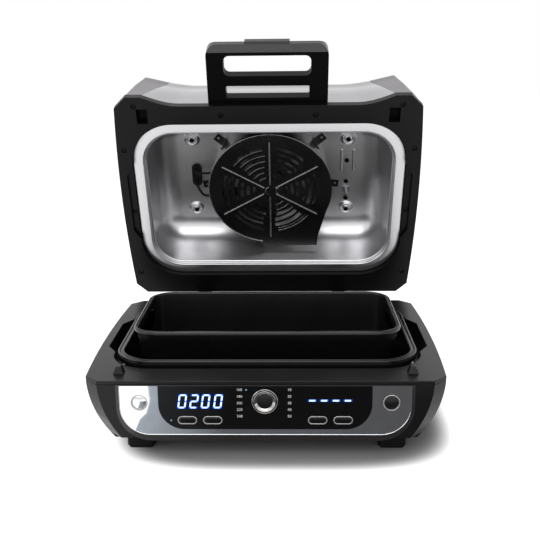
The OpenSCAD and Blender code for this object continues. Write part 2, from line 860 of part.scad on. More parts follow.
// Turned knob on its shaft, with a groove for the bright ring
module control_knob() {
    color("#1a1a1c") translate([0, knob_back, knob_z]) rotate([90, 0, 0]) {
        difference() {
            rotate_extrude() polygon([[0, 0], [knob_r, 0], [knob_r, knob_l - 3], [knob_r - 1, knob_l - 1],
                [knob_r - 2, knob_l], [0, knob_l]]);
            translate([0, 0, knob_l - ring_d]) linear_extrude(ring_d + 1) difference() {
                circle(knob_ring_r + fit_gap);
                circle(knob_cap_r - fit_gap);
            }
        }
        translate([0, 0, -shaft_l]) cylinder(r = knob_shaft_r, h = shaft_l + eps);
    }
}

// Bright ring let into the knob's face
module knob_ring() {
    color("#d8d8da") translate([0, knob_back, knob_z]) rotate([90, 0, 0]) translate([0, 0, knob_l - ring_d])
        rotate_extrude() polygon([[knob_cap_r, 0], [knob_ring_r, 0], [knob_ring_r, ring_d + 0.4],
            [knob_ring_r - 1, ring_d + 1], [knob_cap_r, ring_d + 0.2]]);
}

// Drawn steel well that hangs from the deck's skirt round the pot
module heat_well() {
    c = [well_lap + well_inset + pot_fillet, well_floor + pot_fillet];
    top = deck_z - skirt_h;
    inset = well_lap + well_inset;
    path = concat(bend(c, pot_fillet + well_t, 0, 90),
        [[inset - well_t, top - well_t], [0, top - well_t], [0, top], [inset, top]],
        bend(c, pot_fillet, 90, 0));
    color("#c8c8ca") difference() {
        loft(drawn(well_w / 2 + well_lap, well_d / 2 + well_lap, well_r + well_lap, path));
        for (s = [-1, 1]) translate([-leg_x, s * loop_r, floor_z]) cylinder(r = tube_r + 1, h = well_floor);
    }
}

// Studs that carry the pot above the heater
module pot_supports() {
    color("#b9b9bb") for (x = [-1, 1], y = [-1, 1]) translate([x * stud_x, y * stud_y, well_floor]) {
        cylinder(r = 9, h = 2);
        cylinder(r = 6, h = support_top - well_floor);
    }
}

// Tubular heater under the pot: a long loop whose ends go down through the well, on four saddles
module base_heater() {
    color("#55524f") {
        for (s = [-1, 1]) translate([-leg_x, s * loop_r, loop_z]) {
            rotate([0, 90, 0]) cylinder(r = tube_r, h = leg_x + loop_x);
            translate([0, 0, floor_top + plate_t + lead_gap - loop_z])
                cylinder(r = lead_r, h = loop_z - floor_top - plate_t - lead_gap);
        }
        translate([loop_x, 0, loop_z]) rotate(-90) rotate_extrude(angle = 180)
            translate([loop_r, 0]) circle(tube_r);
    }
    color("#b9b9bb") for (x = [-1, 1], y = [-1, 1])
        translate([(x * loop_x - saddle_w) / 2, y * loop_r - saddle_l / 2, well_floor])
            cube([saddle_w, saddle_l, loop_z - tube_r - well_floor]);
}

// Sprung thermostat that feels the pot's floor
module pot_sensor() {
    color("#8d8d90") translate([0, 0, well_floor]) {
        cylinder(r = 15, h = 2);
        cylinder(r = 10, h = support_top - well_floor - 4);
        cylinder(r = 7, h = support_top - well_floor);
    }
}

// Lugs on the rear face that hold the hinge pins
module hinge_brackets() {
    color("#333335") for (s = [-1, 1]) {
        translate([s * arm_x - lug_span / 2, half_d, hinge_z - lug_low])
            cube([lug_span, root_t, lug_low + barrel_r]);
        for (e = [-1, 1]) across(s * arm_x + e * (arm_w / 2 + side_play + lug_t / 2), lug_t) difference() {
            union() {
                polygon([[half_d, hinge_z - lug_low], [hinge_y, hinge_z - lug_r], [hinge_y, hinge_z + lug_r],
                    [half_d, hinge_z + barrel_r]]);
                translate([hinge_y, hinge_z]) circle(lug_r);
            }
            translate([hinge_y, hinge_z]) circle(pin_r);
        }
    }
}

// Pins through the lugs, each with a head on its outer end
module hinge_pins() {
    color("#a9a9ac") for (s = [-1, 1]) translate([s * arm_x, hinge_y, hinge_z]) rotate([0, 90, 0]) {
        cylinder(r = pin_r, h = lug_span + 2, center = true);
        translate([0, 0, s * (lug_span / 2 + 1)]) cylinder(r = pin_r + 2, h = 2, center = true);
    }
}

// Gland for the mains lead in the rear face
module cord_gland() {
    color("#161617") translate([gland_x, half_d, gland_z]) rotate([-90, 0, 0]) difference() {
        union() {
            translate([0, 0, -wall - 2]) cylinder(r = gland_r, h = wall + 4);
            cylinder(r = gland_r + 3, h = 3);
        }
        translate([0, 0, -wall - 3]) cylinder(r = gland_bore, h = wall + 8);
    }
}

// Deep-drawn pot with a grooved rim and a turned-down lip
module outer_pot() {
    c = [pot_rim + 1.6 + pot_fillet, pot_z + pot_fillet];
    under = rim_z - lip_h + 3.5;
    path = concat(bend(c, pot_fillet, 0, 90),
        [[pot_rim - pot_t, under], [pot_t, under], [pot_t, rim_z - lip_h], [0, rim_z - lip_h], [0, rim_z - 1],
            [0.6, rim_z], [2.2, rim_z], [3, rim_z - 1], [pot_rim - 3.2, rim_z - 1], [pot_rim - 2.4, rim_z],
            [pot_rim - 0.8, rim_z], [pot_rim, rim_z - 1]],
        bend(c, pot_fillet - pot_t, 90, 0));
    color("#1e1e20") loft(drawn(pot_hx, pot_hy, pot_corner, path));
}

// Basket with a rolled rim, a hand hold in each end wall and four pressed feet
module inner_basket() {
    c = [rim_out + basket_draft + pot_fillet, basket_floor - pot_t + pot_fillet];
    z = basket_rim_z;
    path = concat(bend(c, pot_fillet, 0, 90),
        [[rim_out, z - 5.5], [1, z - 4.5], [0, z - 2.5], [0.8, z - 0.6], [2.5, z], [4.2, z - 0.6],
            [rim_out + pot_t, z - 2.5]],
        bend(c, pot_fillet - pot_t, 90, 0));
    foot_low = pot_z + pot_t + seat_gap;
    color("#1c1c1e") translate([0, basket_y, 0]) difference() {
        union() {
            loft(drawn(basket_w / 2, basket_d / 2, basket_r, path));
            for (x = [-1, 1], y = [-1, 1])
                translate([x * (basket_w / 2 - 50), y * (basket_d / 2 - 45), foot_low])
                    cylinder(r = 9, h = basket_floor - pot_t / 2 - foot_low);
        }
        rotate([90, 0, 90]) translate([0, z - hold_drop, 0]) linear_extrude(far, center = true)
            pill(hold_l, hold_h);
    }
}

// How far the front edge is scooped in at x, from nothing at s1 to the full depth at s0
function scooped(x, s1, s0, depth) = depth * sin(90 * min(1, max(0, (s1 - abs(x)) / (s1 - s0))));

// Places along the front edge where the scoop is drawn
function scoop_xs(s1, s0) = [for (s = [-1, 1], i = [0:scoop_steps])
    let (t = s < 0 ? i / scoop_steps : 1 - i / scoop_steps) s * (s1 - t * (s1 - s0))];

// Outline of the lid at one level: [height, draws of the sides, front and rear, scoop, fall to the seams]
function outline(v) = let (h = v[0], ear = ear_x - v[1], yf = v[2] - half_d, yr = half_d - v[3],
        s1 = min(seam_x - seam_slope * (h - frame_t), ear - 2), s0 = scoop_flat * s1,
        ys = [for (i = [0:bow_steps]) yf + corner_cut + (yr - yf - 2 * corner_cut) * i / bow_steps])
    concat([[-ear, yr, h]], [for (i = [bow_steps:-1:0]) [v[1] - side_x(ys[i]), ys[i], h]], [[-ear, yf, h]],
        [for (x = scoop_xs(s1, s0)) [x, yf + v[5] + scooped(x, s1, s0, v[4] - v[5]), h]], [[ear, yf, h]],
        [for (y = ys) [side_x(y) - v[1], y, h]], [[ear, yr, h]]);

// Half width of the body at y
function side_x(y) = half_w - side_bow * y * y / (bow_y * bow_y);

// Levels of the lid's dome, drawn in by t: the upright faces and then a rounded shoulder
function levels(t) = concat(
    [[t > 0 ? frame_t - 1 : frame_t, cover_in + t, cover_in + t, cover_in + t, scoop, 0],
        [crease_h, side_draft / 2 + t, front_draft / 2 + t, rear_draft / 2 + t, scoop - crease, crease_fall],
        [shoulder_h, side_draft + t, front_draft + t, rear_draft + t, scoop + crease, ear_fall]],
    [for (i = [1:shoulder_steps]) let (a = 90 * i / shoulder_steps, k = 1 - cos(a))
        [shoulder_h + (lid_h - t - shoulder_h) * sin(a), side_draft + t + side_run * k,
            front_draft + t + front_run * k, rear_draft + t + rear_run * k,
            scoop + crease - (scoop + crease - crown_scoop) * i / shoulder_steps,
            ear_fall * (1 - i / shoulder_steps)]]);

// Shell of the dome with notches for the hinge arms
module dome_shell() {
    difference() {
        loft([for (v = levels(0)) outline(v)]);
        loft([for (v = levels(cover_t)) outline(v)]);
        for (s = [-1, 1]) translate([s * arm_x - arm_w / 2 - side_play, half_d - notch_in, frame_t - 1])
            cube([arm_w + 2 * side_play, 2 * notch_in, 1 + arm_t + side_play]);
    }
}

// Wedge between the two seams, which slope in towards the top
module seam_wedge() {
    top_x = seam_x - seam_slope * (lid_h - frame_t + 2);
    low_x = seam_x + seam_slope * 2;
    translate([0, far / 2, 0]) rotate([90, 0, 0]) linear_extrude(far)
        polygon([[-low_x, frame_t - 2], [low_x, frame_t - 2], [top_x, lid_h + 2], [-top_x, lid_h + 2]]);
}

// Plan of the lid's frame, with the scoop in its front edge
module frame_plan() {
    xs = scoop_xs(seam_x, scoop_flat * seam_x);
    difference() {
        plan();
        polygon(concat([[-seam_x, -half_d - 1]],
            [for (x = xs) [x, scooped(x, seam_x, scoop_flat * seam_x, scoop) - half_d]],
            [[seam_x, -half_d - 1]]));
    }
}

// Places of the frame's screws: x, y and the height of the face that each is sunk in
function frame_screw_places() = [[ear_x - 11, 13.5 - half_d, 0], [65, 27.5 - half_d, 0],
    [half_w - 12, -84, 0], [half_w - deck_rim - 4, 18, recess_h], [tip_x - 9.5, half_d - 38, 0]];

// Frame of the lid, with a ledge for the liner, keyholes for the pegs and a recess over each finger pocket
module lid_frame() {
    open_lid() color("#232325") difference() {
        linear_extrude(frame_t) frame_plan();
        translate([0, liner_y, -1]) linear_extrude(flange_top + 1)
            rounded(liner_w + 2 * frame_open, liner_d + 2 * frame_open, liner_r + frame_open);
        translate([0, liner_y, 0]) linear_extrude(frame_t + 1)
            rounded(liner_w - 2 * ledge_w, liner_d - 2 * ledge_w, liner_r - ledge_w);
        translate([0, 0, -1]) linear_extrude(recess_h + 1) {
            pocket(0);
            mirror([1, 0]) pocket(0);
        }
        for (s = [-1, 1]) translate([s * peg_x, keyhole_y, frame_t / 2])
            cube([keyhole_w, keyhole_l, frame_t + 2], center = true);
        for (s = [-1, 1], p = frame_screw_places()) translate([s * p[0], p[1], p[2] - 1]) {
            cylinder(r = head_r + fit_gap, h = 1 + frame_sink);
            cylinder(r = screw_r, h = frame_t + 2);
        }
    }
}

// Screws in the frame's lower face
module frame_screws() {
    open_lid() color("dimgray") for (s = [-1, 1], p = frame_screw_places())
        translate([s * p[0], p[1], p[2] + frame_sink - head_h]) mirror([0, 0, 1])
            screw(frame_t - p[2] - frame_sink);
}

// Middle panel of the cover, with an outlet grille in its rear face
module lid_cover() {
    open_lid() color("#d2d2d4") difference() {
        intersection() {
            dome_shell();
            seam_wedge();
        }
        for (i = [-grille_n:grille_n]) translate([i * grille_pitch - grille_w / 2, half_d - notch_in, grille_h])
            cube([grille_w, 2 * notch_in, grille_l]);
    }
}

// Corner and side panels of the cover
module lid_side(s) {
    color("#b6b5b8") difference() {
        intersection() {
            dome_shell();
            translate([s > 0 ? 0 : -far, -far / 2, 0]) cube(far);
        }
        seam_wedge();
    }
}

module lid_side_left() open_lid() lid_side(-1);
module lid_side_right() open_lid() lid_side(1);

// Round between the liner's wall and its ceiling, at radius r
function roof_bend(r, a0, a1) = [for (p = bend([fillet_in, -fillet_h], r, a0, a1, 6)) [p[0], -p[1]]];

// Room inside the liner above the guard
module liner_room() {
    path = concat([[wall_in, guard_h]], roof_bend(liner_fillet, 90, 0));
    translate([0, liner_y, 0]) loft(drawn(liner_hx, liner_hy, liner_r, path));
}

// Deep-drawn steel liner with a stepped flange, screw dimples and pressed beads
module steel_liner() {
    step = flange_h + step_h;
    path = concat(roof_bend(liner_fillet, 0, 90),
        [[wall_in, step], [flange_w, step], [flange_w, flange_h], [0, flange_h], [0, flange_top],
            [flange_w - liner_t, flange_top], [flange_w - liner_t, step + liner_t],
            [wall_in - liner_t, step + liner_t]],
        roof_bend(liner_fillet + liner_t, 90, 0));
    open_lid() color("#c4c4c7") difference() {
        union() {
            translate([0, liner_y, 0]) loft(drawn(liner_hx, liner_hy, liner_r, path));
            for (x = [-1, 1], y = [-1, 1]) translate([x * dimple_x, y * dimple_y, ceiling_h - dimple_d])
                cylinder(r1 = 6, r2 = 11, h = dimple_d + eps);
            for (s = [-1, 1]) translate([dimple_x + s * bead_x, bead_y, ceiling_h]) rotate([90, 0, 0])
                cylinder(r = bead_r, h = bead_l);
        }
        translate([0, fan_y, ceiling_h - 1]) cylinder(r = shaft_r + 3, h = liner_t + 2);
        for (a = coil_ends) rotate_about_fan(a) translate([coil_r, 0, ceiling_h - 1])
            cylinder(r = tube_r + 0.2, h = liner_t + 2);
        translate([-grommet_x, 0, ceiling_h - 1]) linear_extrude(liner_t + 2)
            rotate(90) pill(grommet_l - 6, grommet_w - 6);
        for (p = liner_screw_places()) translate([p[0], p[1], ceiling_h - dimple_d - 1])
            cylinder(r = screw_r, h = dimple_d + liner_t + 2);
    }
}

// Places of the screws in the liner's ceiling: x, y and the height of the face below the head
function liner_screw_places() = concat(
    [for (x = [-1, 1], y = [-1, 1]) [x * dimple_x, y * dimple_y, ceiling_h - dimple_d]],
    [for (y = ceiling_screw_ys) [dimple_x - 1, y, ceiling_h]]);

// Screws that hold the liner and what hangs from it
module liner_screws() {
    open_lid() color("#77777a") for (p = liner_screw_places()) translate([p[0], p[1], p[2] - head_h])
        mirror([0, 0, 1]) screw(liner_t + dimple_d);
}

module rotate_about_fan(a) translate([0, fan_y, 0]) rotate(a) children();

// Plan of the fan guard: a disc with a flat outlet tab towards the rear, drawn in by d
module guard_plan(d) {
    translate([0, fan_y]) circle(guard_r - d, $fn = 96);
    polygon([[outlet_x0 + d, fan_y + guard_r / 2], [outlet_x0 + d, outlet_y - d], [outlet_x1 - d, outlet_y - d],
        [outlet_x1 + 1.5 - d, outlet_y - 18], [guard_r * 0.92 - d, fan_y + guard_r * 0.39], [0, fan_y]]);
}

// Pressed guard with rows of arc slots, raised ribs and a turned-up rim
module fan_guard() {
    open_lid() color("#1c1c1d") {
        difference() {
            union() {
                translate([0, 0, guard_h]) linear_extrude(guard_t) guard_plan(0);
                translate([0, 0, guard_h + eps]) linear_extrude(guard_rim) difference() {
                    guard_plan(0);
                    guard_plan(guard_t);
                }
            }
            for (r = slot_rows(), i = [0:5]) rotate_about_fan(60 * i + slot_start(r))
                rotate_extrude(angle = slot_span(r)) translate([r - slot_h / 2, guard_h - 1])
                    square([slot_h, guard_t + 2]);
        }
        for (i = [0:5]) rotate_about_fan(60 * i + rib_turn) translate([hub_r - 2, -rib_w / 2, guard_h - rib_h])
            cube([guard_r * 0.86 - hub_r, rib_w, rib_h + guard_t / 2]);
        translate([0, fan_y, guard_h - rib_h - 1]) cylinder(r = hub_r - 3, h = rib_h + 1 + guard_t / 2);
        translate([14, fan_y, guard_h - rib_h]) cylinder(r = 4.5, h = rib_h + guard_t / 2);
    }
}

// Radii of the rows of slots, how much of a sixth of a turn a slot takes, and where in its sixth it starts
function slot_rows() = [for (r = [slot_first:slot_pitch:guard_r - slot_margin]) r];
function slot_span(r) = 50 - 500 / r;
function slot_start(r) = 30 + rib_turn + 3 * sin(8 * r) - slot_span(r) / 2;

// Wall between the guard and the ceiling, open towards the outlet
module fan_scroll() {
    open_lid() color("#2b2a2a") intersection() {
        translate([0, 0, guard_h + guard_t]) linear_extrude(ceiling_h - guard_h - guard_t) difference() {
            translate([0, fan_y]) circle(scroll_r, $fn = 96);
            translate([0, fan_y]) circle(scroll_r - scroll_t, $fn = 96);
            translate([outlet_x0 + 3, fan_y]) square([outlet_x1 - outlet_x0 - 6, far]);
        }
        liner_room();
    }
}

// Angle brackets that screw the scroll to the ceiling
module guard_clips() {
    open_lid() color("#5c5b5a") for (a = clip_angles) rotate_about_fan(a)
        difference() {
            union() {
                translate([scroll_r + fit_gap, -clip_w / 2, ceiling_h - clip_l]) cube([clip_t, clip_w, clip_l]);
                translate([scroll_r + fit_gap, -clip_w / 2, ceiling_h - clip_t]) cube([clip_l, clip_w, clip_t]);
            }
            translate([scroll_r + clip_l - 5, 0, ceiling_h - 3]) cylinder(r = screw_r, h = 4);
        }
}

// Heater in the lid: an open loop of tube whose two ends go up through the ceiling
module heater_coil() {
    turn = coil_ends[1] - coil_ends[0];
    open_lid() color("#4b4643") {
        rotate_about_fan(coil_ends[0]) translate([0, 0, coil_h]) rotate_extrude(angle = turn)
            translate([coil_r, 0]) circle(tube_r);
        for (a = coil_ends) rotate_about_fan(a) translate([coil_r, 0, coil_h])
            cylinder(r = tube_r - 0.4, h = liner_top + 10 - coil_h);
    }
}

// Hangers that carry the heater's loop from the ceiling
module coil_clips() {
    low = coil_h + tube_r + fit_gap;
    open_lid() color("#8f8f92") for (a = hanger_angles) rotate_about_fan(a) {
        translate([coil_r - 4, -3, low]) cube([8, 6, 1.5]);
        translate([coil_r, 0, low]) cylinder(r = 2, h = ceiling_h - low);
    }
}

// Rubber grommet where the wires come through the ceiling
module wire_grommet() {
    open_lid() color("#111112") translate([-grommet_x, 0, ceiling_h - grommet_t]) {
        linear_extrude(grommet_t) rotate(90) pill(grommet_l, grommet_w);
        linear_extrude(2 * grommet_t + liner_t) rotate(90) pill(grommet_l - 6, grommet_w - 6);
    }
}

// Ring of a wire's section about p, square to direction d
function wire_ring(p, d, r, n = 8) =
    let (u = d / norm(d), s = cross(u, [0, 1, 0]), a = s / norm(s), b = cross(a, u))
    [for (i = [0:n - 1]) p - r * cos(360 * i / n) * a + r * sin(360 * i / n) * b];

// Wire through a list of points
module wire(pts, r) {
    last = len(pts) - 1;
    loft([for (i = [0:last]) wire_ring(pts[i], pts[min(i + 1, last)] - pts[max(i - 1, 0)], r)]);
}

// Insulated leads from the grommet into the scroll
module heater_wires() {
    open_lid() color("#0e0e0f") translate([-grommet_x, 0, ceiling_h - grommet_t])
        for (p = wire_routes) wire(p, wire_r);
}

// Temperature feeler that stands in a slot beside the fan
module temperature_probe() {
    open_lid() color("#9a9a9d") translate([dimple_x - 1, probe_y, 0]) {
        translate([-probe_w / 2, -probe_d / 2, ceiling_h - 1]) cube([probe_w, probe_d, 1]);
        translate([0, 0, ceiling_h - probe_l]) cylinder(r = probe_r, h = probe_l);
    }
}

// Safety switches over the keyholes
module interlock_switches() {
    open_lid() color("#2a2a2b") for (s = [-1, 1])
        translate([s * peg_x - keyhole_w / 2 - switch_lap, keyhole_y - keyhole_l / 2 - switch_lap, frame_t])
            cube([keyhole_w + 2 * switch_lap, keyhole_l + 2 * switch_lap, switch_h]);
}

// Bridge that holds the motor above the liner
module motor_bracket() {
    open_lid() color("#a7a7aa") difference() {
        translate([0, fan_y, 0]) {
            translate([0, 0, bracket_h]) linear_extrude(bracket_t) rounded(bridge_w, bridge_d, 10);
            for (x = [-1, 1], y = [-1, 1])
                translate([x * (bridge_w / 2 - bridge_in), y * (bridge_d / 2 - bridge_in), liner_top])
                    cylinder(r = boss_r, h = bracket_h - liner_top + eps);
        }
        translate([0, fan_y, bracket_h - 1]) cylinder(r = shaft_r + 4, h = bracket_t + 2);
    }
}

// Motor with a boss at each end for its shaft
module motor() {
    open_lid() color("#6e6e72") translate([0, fan_y, motor_low]) difference() {
        union() {
            cylinder(r = motor_r, h = motor_h - 3);
            cylinder(r = motor_r - 8, h = motor_h - 1.5);
            cylinder(r = shaft_r + 5, h = motor_h);
        }
        translate([0, 0, -1]) cylinder(r = shaft_r + run_gap, h = motor_h + 2);
    }
}

// Radial fan with straight blades under a back plate
module fan_impeller() {
    open_lid() color("#8b8b8e") translate([0, fan_y, fan_low]) difference() {
        union() {
            translate([0, 0, -2]) cylinder(r = hub_r, h = blade_h + 4);
            translate([0, 0, blade_h]) cylinder(r = fan_r, h = 1.2);
            for (i = [0:blades - 1]) rotate(360 * i / blades) translate([hub_r + 9, 0, 0]) rotate(18)
                translate([0, -0.6, 0]) cube([fan_r - hub_r - 11, 1.2, blade_h + eps]);
        }
        translate([0, 0, -3]) cylinder(r = shaft_r, h = blade_h + 6);
    }
}

// Shaft that carries the fan below the motor and the cooling fan above it
module motor_shaft() {
    open_lid() color("#bdbdc0") translate([0, fan_y, fan_low - 5])
        cylinder(r = shaft_r, h = cool_low + cool_h + 2 - fan_low + 5);
}

// Cooling fan above the motor
module cooling_fan() {
    open_lid() color("#2d2d2f") translate([0, fan_y, cool_low]) difference() {
        union() {
            cylinder(r = hub_r, h = cool_h);
            cylinder(r = cool_r, h = 1);
            for (i = [0:8]) rotate(40 * i) translate([hub_r - 1, -0.5, 0]) cube([cool_r - hub_r, 1, cool_h]);
        }
        translate([0, 0, -1]) cylinder(r = shaft_r, h = cool_h + 2);
    }
}

// Plan of the handle with its finger slot and the slit at its root
module handle_plan() {
    difference() {
        union() {
            translate([0, handle_tip + handle_w / 4]) rounded(handle_w, handle_w / 2, handle_corner);
            translate([-handle_w / 2, handle_tip + handle_w / 4]) square([handle_w, root_y - handle_tip]);
        }
        translate([0, slot_tip + slot_d / 2]) rounded(slot_w, slot_d, 8);
        translate([0, root_y - 8 - low_slot_d / 2]) rounded(low_slot_w, low_slot_d, 2);
    }
}

// Side profiles of the handle, in Y and h: the frame from the cover to the bar, the grip over the bar, and the
// thumb rest round the grip's end
function handle_side() = [[root_y - fit_gap, handle_low], [bar_tip, handle_low], [bar_tip, grip_low],
    [slot_tip, grip_low], [slot_tip, handle_top], [root_y - fit_gap + root_slope * handle_t, handle_top]];
function grip_side() = [[bar_tip, handle_low], [bar_tip, grip_low], [slot_tip, grip_low],
    [slot_tip, grip_top - 2], [slot_tip - 2, grip_top], [handle_tip + 4, grip_top], [handle_tip, grip_top - 5],
    [handle_tip, handle_low + 7]];
function thumb_side() = [[handle_tip + 1, handle_low + 8], [slot_tip - 3, grip_top - 1],
    [slot_tip - 3, grip_top + thumb_h], [handle_tip + 3, grip_top + thumb_h],
    [handle_tip - thumb_out, grip_top - 3], [handle_tip - thumb_out, handle_low + 10]];

module handle_frame() {
    open_lid() color("#131314") intersection() {
        linear_extrude(far) handle_plan();
        across(0, far) polygon(handle_side());
    }
}

// Grip over the end of the handle, with a raised thumb rest
module handle_grip() {
    open_lid() color("#1b1b1c") {
        intersection() {
            linear_extrude(far) handle_plan();
            across(0, far) polygon(grip_side());
        }
        across(0, thumb_w) polygon(thumb_side());
    }
}

// Goose-neck arms from the lid's frame down to the hinge pins, each with a nose that stops the open lid
module hinge_arms() {
    bore = pin_r + run_gap + bush_t;
    heel = half_d + heel_gap;
    open_lid() color("#2f2f31") for (s = [-1, 1]) {
        across(s * arm_x, arm_w) difference() {
            union() {
                polygon([[half_d - foot_reach, frame_t], [heel, frame_t], [heel, -2], [heel + 2, hinge_h + 22],
                    [hinge_y - barrel_r, hinge_h], [hinge_y + barrel_r, hinge_h],
                    [hinge_y + barrel_r - 1, hinge_h + 14], [half_d + 14, frame_t + arm_t],
                    [half_d - foot_reach, frame_t + arm_t]]);
                translate([hinge_y, hinge_h]) circle(barrel_r);
            }
            translate([hinge_y, hinge_h]) circle(bore);
        }
        translate([s * arm_x - arm_w / 2, hinge_y, hinge_h]) rotate([open_angle, 0, 0])
            translate([0, root_t + slide_gap - hinge_out, -nose_h])
                cube([arm_w, hinge_out - root_t - slide_gap - bore - 1, nose_h]);
    }
}

// Bushes pressed into the arms
module hinge_bushes() {
    open_lid() color("#c9a45c") for (s = [-1, 1]) across(s * arm_x, arm_w)
        translate([hinge_y, hinge_h]) difference() {
            circle(pin_r + run_gap + bush_t);
            circle(pin_r + run_gap);
        }
}

lower_housing();
base_deck();
bottom_plate();
rubber_feet();
bottom_screws();
interlock_pegs();
panel_bezel();
chrome_fascia();
display_panel();
display_board();
power_board();
pill_button_rings();
round_button_rings();
heat_well();
pot_supports();
base_heater();
pot_sensor();
hinge_brackets();
hinge_pins();
cord_gland();
control_knob();
knob_ring();
pill_button_1();
pill_button_2();
pill_button_3();
pill_button_4();
power_button();
start_button();
outer_pot();
inner_basket();
lid_frame();
lid_cover();
lid_side_left();
lid_side_right();
steel_liner();
fan_guard();
fan_scroll();
guard_clips();
heater_coil();
coil_clips();
wire_grommet();
heater_wires();
temperature_probe();
liner_screws();
frame_screws();
interlock_switches();
motor_bracket();
motor();
fan_impeller();
motor_shaft();
cooling_fan();
handle_frame();
handle_grip();
hinge_arms();
hinge_bushes();
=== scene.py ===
"""Looks of an air fryer grill with its lid open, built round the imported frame. Lengths are in metres."""

import json
import logging
from dataclasses import dataclass, field
from enum import Enum
from math import cos, pi, radians, sin, tan
from typing import Callable, Iterable, Sequence

import bmesh
import bpy
from mathutils import Matrix, Vector


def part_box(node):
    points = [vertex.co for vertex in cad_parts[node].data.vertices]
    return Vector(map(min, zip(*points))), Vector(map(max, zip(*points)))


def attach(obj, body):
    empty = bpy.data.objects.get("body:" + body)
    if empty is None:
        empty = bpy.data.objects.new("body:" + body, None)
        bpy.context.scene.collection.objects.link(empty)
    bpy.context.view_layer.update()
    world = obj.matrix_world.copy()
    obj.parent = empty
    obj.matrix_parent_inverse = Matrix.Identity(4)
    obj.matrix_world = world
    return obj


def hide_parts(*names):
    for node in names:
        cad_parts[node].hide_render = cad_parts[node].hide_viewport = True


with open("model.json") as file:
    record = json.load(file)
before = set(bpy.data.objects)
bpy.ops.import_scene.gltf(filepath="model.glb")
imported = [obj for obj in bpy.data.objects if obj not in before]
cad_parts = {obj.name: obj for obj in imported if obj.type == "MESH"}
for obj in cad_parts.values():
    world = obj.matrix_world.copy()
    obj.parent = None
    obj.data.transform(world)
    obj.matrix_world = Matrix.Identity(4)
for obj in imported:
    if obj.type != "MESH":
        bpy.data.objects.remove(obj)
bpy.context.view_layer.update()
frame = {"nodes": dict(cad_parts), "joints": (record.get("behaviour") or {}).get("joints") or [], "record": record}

LOG = logging.getLogger("air_fryer_grill")
MM = 0.001
MERGE = 1e-6
AXIS_RADIUS = 1e-5

Colour = tuple[float, float, float, float]
Point = tuple[float, float, float]
Piece = bpy.types.Object
Pair = tuple[float, float]
Lengths = tuple[float, ...]
Pairs = tuple[Pair, ...]
# A line of corners, each a flat point with the radius of the round there.
Corner = tuple[float, float, float]
Line = tuple[Corner, ...]
Stops = tuple[tuple[float, Colour], ...]

WHITE: Colour = (1.0, 1.0, 1.0, 1.0)
BLACK: Colour = (0.0, 0.0, 0.0, 1.0)


def srgb(red: int, green: int, blue: int) -> Colour:
    """Turns an 8-bit screen colour into a linear one.

    Args:
        red: Red, from 0 to 255.
        green: Green, from 0 to 255.
        blue: Blue, from 0 to 255.

    Returns:
        The linear colour with full alpha.
    """
    def linear(value: int) -> float:
        """Turns one channel linear."""
        part = value / 255
        return part / 12.92 if part <= 0.04045 else ((part + 0.055) / 1.055) ** 2.4

    return linear(red), linear(green), linear(blue), 1.0


def scaled(colour: Colour, factor: float) -> Colour:
    """Returns a colour that is darker or lighter by a factor."""
    return colour[0] * factor, colour[1] * factor, colour[2] * factor, 1.0


class Signal:
    """A node's output that takes part in Python expressions, each of which adds a Math node."""

    def __init__(self, graph: "NodeGraph", socket: bpy.types.NodeSocket) -> None:
        """Keeps the graph that the socket belongs to, and the socket."""
        self.graph = graph
        self.socket = socket

    def math(self, operation: str, first: "Signal | float", second: "Signal | float") -> "Signal":
        """Adds a Math node with an operation on two values."""
        return self.graph.node("ShaderNodeMath", {"operation": operation}, {0: first, 1: second})

    def __add__(self, other: "Signal | float") -> "Signal":
        """Adds a value."""
        return self.math("ADD", self, other)

    def __sub__(self, other: "Signal | float") -> "Signal":
        """Takes a value away."""
        return self.math("SUBTRACT", self, other)

    def __rsub__(self, other: "Signal | float") -> "Signal":
        """Takes this away from a value."""
        return self.math("SUBTRACT", other, self)

    def __mul__(self, other: "Signal | float") -> "Signal":
        """Multiplies by a value."""
        return self.math("MULTIPLY", self, other)

    __radd__ = __add__
    __rmul__ = __mul__

    def larger(self, other: "Signal | float") -> "Signal":
        """Returns the larger of this and another value."""
        return self.math("MAXIMUM", self, other)

    def rise(self, low: float, high: float) -> "Signal":
        """Returns a smooth step from 0 at low to 1 at high."""
        values = {"Value": self, "From Min": low, "From Max": high}
        return self.graph.node("ShaderNodeMapRange", {"interpolation_type": "SMOOTHSTEP"}, values)


class NodeGraph:
    """A node tree whose nodes all come from one method."""

    def __init__(self, tree: bpy.types.NodeTree) -> None:
        """Keeps the tree."""
        self.tree = tree

    def node(self, kind: str, settings: dict | None = None, values: dict | None = None,
             out: int | str = 0) -> Signal:
        """Adds a node.

        Args:
            kind: The node's type.
            settings: Properties of the node, set first. The stops of a ramp are pairs of place and colour.
            values: Numbers or links for the node's sockets, by name or index.
            out: Which output to return.

        Returns:
            The chosen output.
        """
        made = self.tree.nodes.new(kind)
        for key, value in (settings or {}).items():
            if key == "stops":
                self._set_stops(made.color_ramp.elements, value)
            else:
                setattr(made, key, value)
        for key, value in (values or {}).items():
            for part in value if isinstance(value, list) else [value]:
                self._feed(made.inputs[key], part)
        return Signal(self, made.outputs[out])

    def _feed(self, socket: bpy.types.NodeSocket, value: object) -> None:
        """Links a signal to a socket, or sets the socket's own value.

        Args:
            socket: The input.
            value: A signal, or a plain value.
        """
        if isinstance(value, Signal):
            self.tree.links.new(value.socket, socket)
        else:
            socket.default_value = value

    @staticmethod
    def _set_stops(elements: bpy.types.bpy_prop_collection, stops: Stops) -> None:
        """Sets the stops of a colour ramp.

        Args:
            elements: The ramp's stops.
            stops: The place and colour of each.
        """
        while len(elements) < len(stops):
            elements.new(1.0)
        for element, (place, colour) in zip(elements, stops):
            element.position = place
            element.color = colour


